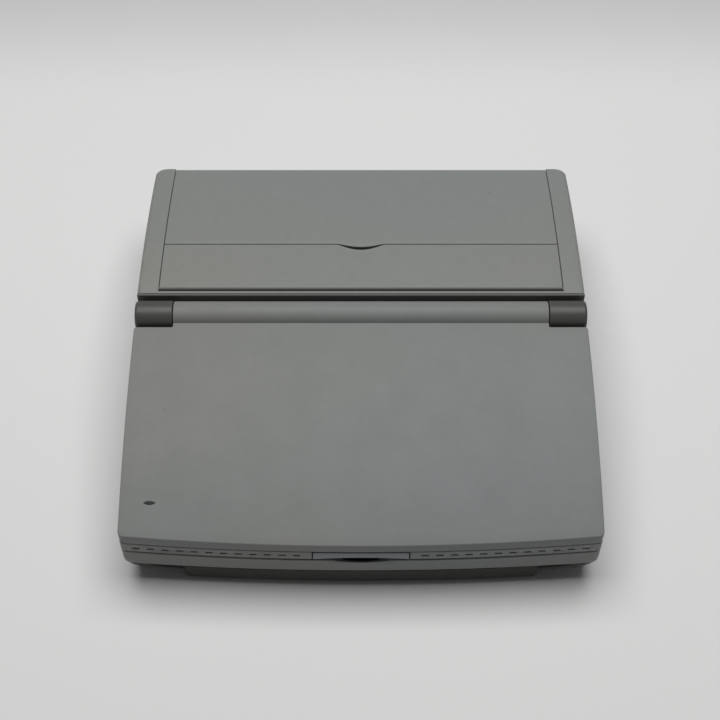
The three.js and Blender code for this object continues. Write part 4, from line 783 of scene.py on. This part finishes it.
def flap(x_lines, free, hinge, radius, away, dish):
    """A flap on the arch: a section carried along X, which closes on itself.

    The section starts at the underside of the free edge, free(x), goes over the round edge, along the
    arch less the dish and round a roll of that radius at the hinge, and comes back along the underside.
    away is the side, -1 or 1 in Y, on which the free edge lies. Towards both ends the top draws in.
    """
    inset = edge_drop(panel_half - np.abs(x_lines), panel_edge, panel_edge)
    edge = free(x_lines)
    lean = math.asin((hinge - apex_y) / housing_radius)
    centre = housing_top(hinge) - radius
    turn = np.linspace(0, math.pi / 2, 5)[:, None]
    over_y = edge - away * panel_edge * (1 - np.cos(turn))
    over_z = housing_top(edge) - inset - panel_edge * (1 - np.sin(turn))
    share = np.linspace(0, 1, 19)[1:-1, None]
    along_y = over_y[-1] + (hinge - away * radius * math.sin(abs(lean)) - over_y[-1]) * share
    along_z = housing_top(along_y) - inset - dish(x_lines, along_y)
    roll = np.linspace(math.pi / 2 - abs(lean), -math.pi / 2, 15)[:, None]
    roll_y = hinge - away * (radius - inset) * np.cos(roll)
    roll_z = centre + (radius - inset) * np.sin(roll)
    under = housing_top(edge) - panel_thickness
    top_y = np.concatenate((edge[None], over_y, along_y, roll_y))
    top_z = np.concatenate((under[None], over_z, along_z, roll_z))
    back = np.linspace(0, 1, len(top_y) - 7)[:, None]
    back_y = edge + (hinge + away * radius - edge) * back
    back_z = housing_top(back_y) - panel_thickness
    inner = np.linspace(math.pi, 1.5 * math.pi, 8)[1:, None]
    back_y = np.concatenate((back_y, hinge - away * (radius - inset) * np.cos(inner)))
    back_z = np.concatenate((back_z, centre + (radius - inset) * np.sin(inner)))
    x = np.broadcast_to(x_lines, top_y.shape)
    upper, lower = np.stack((x, top_y, top_z), -1), np.stack((x, back_y, back_z), -1)
    return Skin().grid(upper).grid(lower).grid(np.stack((upper[:, 0], lower[:, 0]))).grid(
        np.stack((upper[:, -1], lower[:, -1])))


def smile(x, half, depth):
    """The tab's edge: a shallow parabola-like dip that leaves the straight edge softly at both ends."""
    return depth * np.maximum(1 - (x / half) ** 2, 0) ** 1.25


def dish(x, y):
    """A soft bowl under the tab, a cosine hump turned down."""
    reach = np.minimum(np.hypot(x / 1.2, y - split_y + 2) / dish_reach, 1)
    return dish_depth * (1 + np.cos(math.pi * reach)) / 2


tab_lines = np.linspace(-tab_half - 3, tab_half + 3, 42)
outer_lines = lines_between(-panel_half, panel_half, panel_edge, 24)
x_lines = np.concatenate((outer_lines[outer_lines < tab_lines[0] - 2], tab_lines,
                          outer_lines[outer_lines > tab_lines[-1] + 2]))
rear_roll = 4.3
rear_hinge = half_depth - 0.5 - rear_roll
rod_half = 151.6
rod_radius = 1.4
hinge_rod = [(-rod_half, 0), (-rod_half, rod_radius), (rod_half, rod_radius), (rod_half, 0)]
support = flap(x_lines, lambda x: split_y - smile(x, tab_half, tab_depth), rear_hinge, rear_roll, -1,
               lambda x, y: 0 * y)
rear_axis = (0, rear_hinge, housing_top(rear_hinge) - rear_roll)
support.grid(turned(hinge_rod, 0, rear_axis, 16), around=True)
flap_plastic = grey_case("flap_plastic", [(101.5, 134.4, 0.7), (103.2, 134.2, 0.6)])
fitted("rear_flap", support.mesh("rear_flap"), "support", flap_plastic,
       ["paper_support", "support_tab"])

front_roll = 1.9
front_sink = 2.4
front_hinge = 26.8 + front_sink
cover = flap(x_lines, lambda x: split_y - split_gap - smile(x, tab_half + split_gap, notch_depth),
             front_hinge + 0.6, front_roll, 1, dish)
front_axis = (0, front_hinge, housing_top(front_hinge) - front_sink)
cover.grid(turned(hinge_rod, 0, front_axis, 16), around=True)
fitted("front_flap", cover.mesh("front_flap"), "cover", flap_plastic, ["ribbon_cover"])


# Lid bezel: the lid's lower half, with the row of small dark slots along its front and the display's frame.
# One moulding in the grey of the case; behind the slots lies a black strip of painted shade, which stands for
# the shade inside them, and over the display a window.
parting_gap = 0.8
band_height = 8.6
band_edge = 0.45
band_foot_drop = 2.5
band_head_drop = 2.0
solid_band_corner = 7.0
band_corner = 3.5


def on_band(points):
    x, y, _ = points.T
    return (np.abs(x) > half_width - 0.4) | (y < bow(x) - half_depth + 0.4)


def band(points):
    """The photograph's band: a little lower and taller at the front than the solid's, and squarer."""
    x, y, z = points.T
    share = np.clip((z - deck_plane(y) - parting_gap) / band_height, 0, 1)
    fall = lowered(y, band_foot_drop) * (1 - share) + lowered(y, band_head_drop) * share
    points = wider(squared(points, solid_band_corner, band_corner), 0)
    return points - np.stack((0 * x, 0 * y, fall * rim(points, 6, rim_none)), 1)


bezel = softened("lid_bezel", band_edge, lambda a, b: on_band(a) & on_band(b) & longer(a, b, 5.5),
                 cuts=rim_cuts, moved=band)
fitted("bezel_frame", bezel, "lid", case_grey, ["lid_bezel"])

slot_first = 43.9
slot_pitch = 10.0
slot_half = 2.6
slot_height = 1.6
slot_recess = 0.3
slot_depth = 1.0
slots_a_side = 12
band_middle = 42.35
# Painted shade: black blocks just behind the slots' mouths stand for the shade inside the slots.
shade_blocks = Skin()
for side in (-1, 1):
    for number in range(slots_a_side):
        across = side * (slot_first + number * slot_pitch)
        fall = float(bow(across))
        front = fall - half_depth + slot_recess
        middle = band_middle + 0.2 * fall
        reach = slot_height / 2 + 0.1
        shade_blocks.grid(box_rings(across - slot_half, across + slot_half, front, front + slot_depth,
                               middle - reach, middle + reach, 0.1), around=True)
slot_painted_shade = moulded("slot_painted_shade", (22, 22, 22), (19, 19, 20), 0.8, 0.00002, 0.2)
fitted("slot_shade_sheet", shade_blocks.mesh("slot_shade_sheet"), "lid", slot_painted_shade.material, ["lid_bezel"])

glass = moulded("display_glass", (96, 106, 90), (88, 98, 84), 0.22, 0.000004, 0.5)
dress(glass.material, "display_window")


# Latch: a smoother, slightly bluer bar in the middle of the lid's front. Its face leans out a little
# towards its lower edge, which is arched for a fingertip. Two hooks behind it hold the lid down.
latch_half = 32.9
latch_foot = 37.6
latch_top = 44.7
latch_step = 47.7
latch_arch = 2.2
latch_lean = 0.15
latch_face = 0.9
latch_ledge = 2.4
latch_rear = 5.7
latch_edge = 0.45
latch_end = 0.4
hook_place = 24.0
hook_half = 2.5


def latch_bar():
    """A closed section carried along X over the bow. Its foot is a parabola, foot + arch (1 - (x / half)^2).

    Each row of corners holds a depth, a height, the corner's side in Y and in Z, and the quarter turn at
    which its arc starts. After the ledge comes the sharp inner corner of the step behind the face.
    """
    x = lines_between(-latch_half, latch_half, latch_end, 30)
    inset = edge_drop(latch_half - np.abs(x), latch_end, latch_end)
    foot = latch_foot + latch_arch * (1 - (x / latch_half) ** 2) + inset
    front = bow(x) - half_depth
    quarter = np.linspace(0, math.pi / 2, 5)[:, None]
    step, top = latch_step - inset, latch_top - inset
    corners = [(latch_lean, foot, -1, -1, 2), (latch_rear, foot, 1, -1, 3), (latch_rear, step, 1, 1, 0),
               (latch_ledge, step, -1, 1, 1), (latch_face, top, -1, 1, 1)]
    rows = []
    for depth, height, out, up, start in corners:
        turn = start * math.pi / 2 + quarter
        y = front + depth - out * (latch_edge + inset) + latch_edge * np.cos(turn)
        z = height - up * latch_edge + latch_edge * np.sin(turn)
        y, z = np.broadcast_arrays(y, z)
        rows.append(np.stack((np.broadcast_to(x, y.shape), y, z), -1))
        if depth == latch_ledge:
            rows.append(np.stack((x, front + depth + inset, top), -1)[None])
    ring = np.concatenate(rows).transpose(1, 0, 2)
    middle = ring.mean(1, keepdims=True) + 0 * ring
    return np.concatenate((middle[:1], ring, middle[-1:]))


latch_plastic = moulded("latch_plastic", (137, 143, 146), (133, 140, 144), 0.42, 0.00001)
bar = Skin().grid(latch_bar(), around=True)
hook_section = [(2.0, 44.0), (6.0, 44.0), (6.0, 35.9), (8.0, 35.9), (8.0, 47.0), (2.0, 47.0)]
hook_line = np.array([(y - half_depth, z) for y, z in hook_section])
for side in (-1, 1):
    ends = [np.column_stack((np.full(len(hook_line), side * hook_place + x), hook_line))
            for x in (-hook_half, -hook_half, hook_half, hook_half)]
    ends[0] = ends[0] * 0 + ends[0].mean(0)
    ends[3] = ends[3] * 0 + ends[3].mean(0)
    bar.grid(np.stack(ends), around=True)
fitted("latch_bar", bar.mesh("latch_bar"), "latch", latch_plastic.material, ["lid_latch"])


# Lid shell: one arched skin with a bowed front and round edges, that runs into the round hinge barrel.
# The outline is carried up the skirt, over the edge and in to the middle, then back down inside the wall.
lid_rise = 4.8
lid_radius = 600.03
lid_wall = 2.2
lid_corner = 4.0
lid_edge = 0.7
skirt_edge = 0.3
lid_rear = -5.3
rear_corner = 2.2
neck_corner = 1.0
barrel_half = 137.0
barrel_radius = 10.7
barrel_bore = 3.9
barrel_edge = 0.7
bore_depth = 18
skirt_above_deck = 10.4
skirt_drop = 2.1


def lid_top(x, y):
    return arch(y, lid_rise, lid_radius)


def lid_under(x, y):
    return lid_top(x, y) - lid_wall


def skirt_foot(x, y):
    """The skirt's lower edge: a little over the band, all along the sloping deck."""
    return deck_plane(y) - lowered(y, skirt_drop) + skirt_above_deck


def arc(x, y, radius, start, end, steps=8):
    """Points of an arc about x, y between two angles in quarter turns."""
    angle = np.linspace(start, end, steps + 1) * math.pi / 2
    return np.stack((x + radius * np.cos(angle), y + radius * np.sin(angle)), 1)


def outward(outline):
    """Unit normals of a closed outline drawn anticlockwise, from the points on either side."""
    along = np.roll(outline, -1, 0) - np.roll(outline, 1, 0)
    normal = np.stack((along[:, 1], -along[:, 0]), 1)
    return normal / np.linalg.norm(normal, axis=1, keepdims=True)


def spaced(line, spacing):
    """The same open line with more points, so that no two are further apart than spacing."""
    reach = np.concatenate(([0], np.cumsum(np.linalg.norm(np.diff(line, axis=0), axis=1))))
    even = np.arange(0, reach[-1], spacing)
    far = np.min(np.abs(even[:, None] - reach), axis=1) > 0.3 * spacing
    places = np.union1d(reach, even[far])
    return np.stack((np.interp(places, reach, line[:, 0]), np.interp(places, reach, line[:, 1])), 1)


bowed = np.linspace(0, half_width - lid_corner, 24)
right_half = np.concatenate((
    np.stack((bowed, bow(bowed) - half_depth), 1)[:-1],
    arc(half_width - lid_corner, bow(half_width - lid_corner) - half_depth + lid_corner, lid_corner, -1, 0),
    arc(half_width - rear_corner, lid_rear - rear_corner, rear_corner, 0, 1, 5),
    arc(barrel_half + neck_corner, lid_rear + neck_corner, neck_corner, -1, -2, 4),
    [(barrel_half, 1.0), (0, 1.0)]))
right_half = spaced(right_half, 7.0)
lid_outline = np.concatenate((right_half, right_half[-2:0:-1] * (-1, 1)))


def ring(outline, inset, height, share=1.0):
    """The outline drawn in by inset and then shrunk to a share about its middle, at height(x, y)."""
    flat = outline - inset * outward(outline)
    middle = (flat.min(0) + flat.max(0)) / 2
    x, y = (middle + (flat - middle) * share).T
    return np.stack((x, y, height(x, y)), 1)


def lid_rings():
    """The whole skin, from the middle inside, down the wall, round its foot, up and in over the edge."""
    over = np.linspace(0, math.pi / 2, 7)
    fill = np.linspace(1, 0, 15)[1:]
    rows = [ring(lid_outline, lid_wall, lid_under, share) for share in fill[::-1]]
    rows.append(ring(lid_outline, lid_wall, lid_under))
    rows.append(ring(lid_outline, lid_wall, skirt_foot))
    rows.append(ring(lid_outline, skirt_edge, skirt_foot))
    rows.append(ring(lid_outline, 0, lambda x, y: skirt_foot(x, y) + skirt_edge))
    rows += [ring(lid_outline, lid_edge * (1 - math.cos(t)),
                  lambda x, y, t=t: lid_top(x, y) - lid_edge * (1 - math.sin(t))) for t in over]
    rows += [ring(lid_outline, lid_edge, lid_top, share) for share in fill]
    return np.stack(rows)


lid = Skin().grid(lid_rings(), around=True)
barrel_line = rounded([(0, barrel_bore), (barrel_half, barrel_bore), (barrel_half, barrel_radius),
                       (0, barrel_radius)], barrel_edge)
barrel_line = np.concatenate(([(barrel_half - bore_depth, 0)], barrel_line[1:]))
barrel_line[1] = (barrel_half - bore_depth, barrel_bore)
barrel_line = np.concatenate((barrel_line, barrel_line[::-1] * (-1, 1)))
lid.grid(turned(barrel_line, 0, (0, hinge_y, hinge_z), 72), around=True)
specks = [(-138.3, -73.8, 0.5), (-48.2, -82.5, 0.45), (0.7, -80.7, 0.5), (48.0, -91.8, 0.45),
          (-69.4, -98.4, 0.4), (-26.3, -102.1, 0.4), (49.1, -105.0, 0.45)]
# Painted shade: the lid's grey is a little darker than the case's, for light that falls off over the lid. The
# specks are its own dirt.
lid_shaded_grey = grey_case("lid_shaded_grey", specks, (122, 123, 119), (120, 124, 124))
fitted("lid_cover", lid.mesh("lid_cover"), "lid", lid_shaded_grey, ["lid_shell"])


# Charge lens: a dark, eye-shaped window over the charge lamp, moulded in smoked plastic and slightly
# crowned, pressed into its hole in the lid's top from inside.
lens_x = -144.3
lens_y = -140.4
lens_half = 4.35
lens_rise = 1.4
lens_crown = [(0.05, 1.0), (0.2, 0.85), (0.3, 0.5), (0.32, 0.0)]
lens_radius = (lens_half ** 2 + lens_rise ** 2) / (2 * lens_rise)
sweep = math.asin(lens_half / lens_radius) / (math.pi / 2)
lower = arc(0, lens_radius - lens_rise, lens_radius, -1 - sweep, -1 + sweep, 12)
eye = np.concatenate((lower, lower[-2:0:-1] * (1, -1))) + (lens_x, lens_y)
lens_rings = [ring(eye, 0, lid_under, 0.0), ring(eye, 0, lid_under)]
lens_rings += [ring(eye, 0, lambda x, y, up=up: lid_top(x, y) + up, share) for up, share in lens_crown]
lens = Skin().grid(np.stack(lens_rings), around=True).mesh("charge_window")
lens_plastic = moulded("lens_plastic", (40, 42, 42), (34, 37, 38), 0.5, 0.000004, 0.2)
fitted("charge_window", lens, "lid", lens_plastic.material, ["charge_lens"])


# Carrying handle: a dark bar across the front, its lower corners cut and its edges well rounded.
# Only the bar itself is rounded, and not the two arms that slide into the tray behind it.
handle_edge = 1.0
handle_rear = -157
handle_plastic = moulded("handle_plastic", (51, 50, 46), (47, 47, 45), 0.55, 0.00003)
handle_bar = softened("carry_handle", handle_edge, lambda a, b: longer(a, b, 2.0) & (a[:, 1] < handle_rear)
                      & (b[:, 1] < handle_rear))
fitted("handle_bar", handle_bar, "handle", handle_plastic.material, ["carry_handle"])


# Studio: a pale matt table and one broad soft lamp high behind the machine, as in a light tent.
# The front faces get less light than the top, and the soft shadow falls towards the camera. The camera,
# reflections and clear parts see the tent paler than it lights the machine.
table_size = 6.0
# Places along Y, in metres, over which the paper's painted shade darkens it towards the back.
table_shade_span = (0.33, 0.52)
table = bpy.data.objects.new("table", bpy.data.meshes.new("table"))
table_corners = [(x * table_size, y * table_size, 0) for x, y in ((-1, -1), (1, -1), (1, 1), (-1, 1))]
table.data.from_pydata(table_corners, [], [(0, 1, 2, 3)])
bpy.context.scene.collection.objects.link(table)
paper = Finish("table_paper", Roughness=0.9, Specular_IOR_Level=0.2)
near = paper.blend(paper.noise(0.4), shade(229, 229, 229), shade(232, 232, 231))
# Painted shade: the paper grows darker towards the back of the table, for light that falls off far from the
# machine.
paper.set(Base_Color=paper.blend(paper.along(1).step(*table_shade_span), near, shade(205, 205, 205)))
table.data.materials.append(paper.material)

lamp = bpy.data.objects.new("tent_top", bpy.data.lights.new("tent_top", "AREA"))
lamp.data.shape = "RECTANGLE"
lamp.data.size = 1.9
lamp.data.size_y = 1.3
lamp.data.energy = 35
lamp.location = (0, 0.31, 1.9)
lamp.rotation_euler = (-math.atan2(lamp.location.y, lamp.location.z), 0, 0)
bpy.context.scene.collection.objects.link(lamp)
tent_light = 0.09
tent_seen = 0.66
world = bpy.data.worlds.new("tent")
world.use_nodes = True
sky = world.node_tree.nodes["Background"]
ray = world.node_tree.nodes.new("ShaderNodeLightPath")
strength = world.node_tree.nodes.new("ShaderNodeMix")
seen = ray.outputs["Is Camera Ray"]
for kind in ("Is Glossy Ray", "Is Transmission Ray"):
    either = world.node_tree.nodes.new("ShaderNodeMath")
    either.operation = "MAXIMUM"
    world.node_tree.links.new(seen, either.inputs[0])
    world.node_tree.links.new(ray.outputs[kind], either.inputs[1])
    seen = either.outputs[0]
world.node_tree.links.new(seen, strength.inputs["Factor"])
strength.inputs["A"].default_value = tent_light
strength.inputs["B"].default_value = tent_seen
world.node_tree.links.new(strength.outputs["Result"], sky.inputs["Strength"])
sky.inputs["Color"].default_value = (1, 1, 1, 1)
bpy.context.scene.world = world
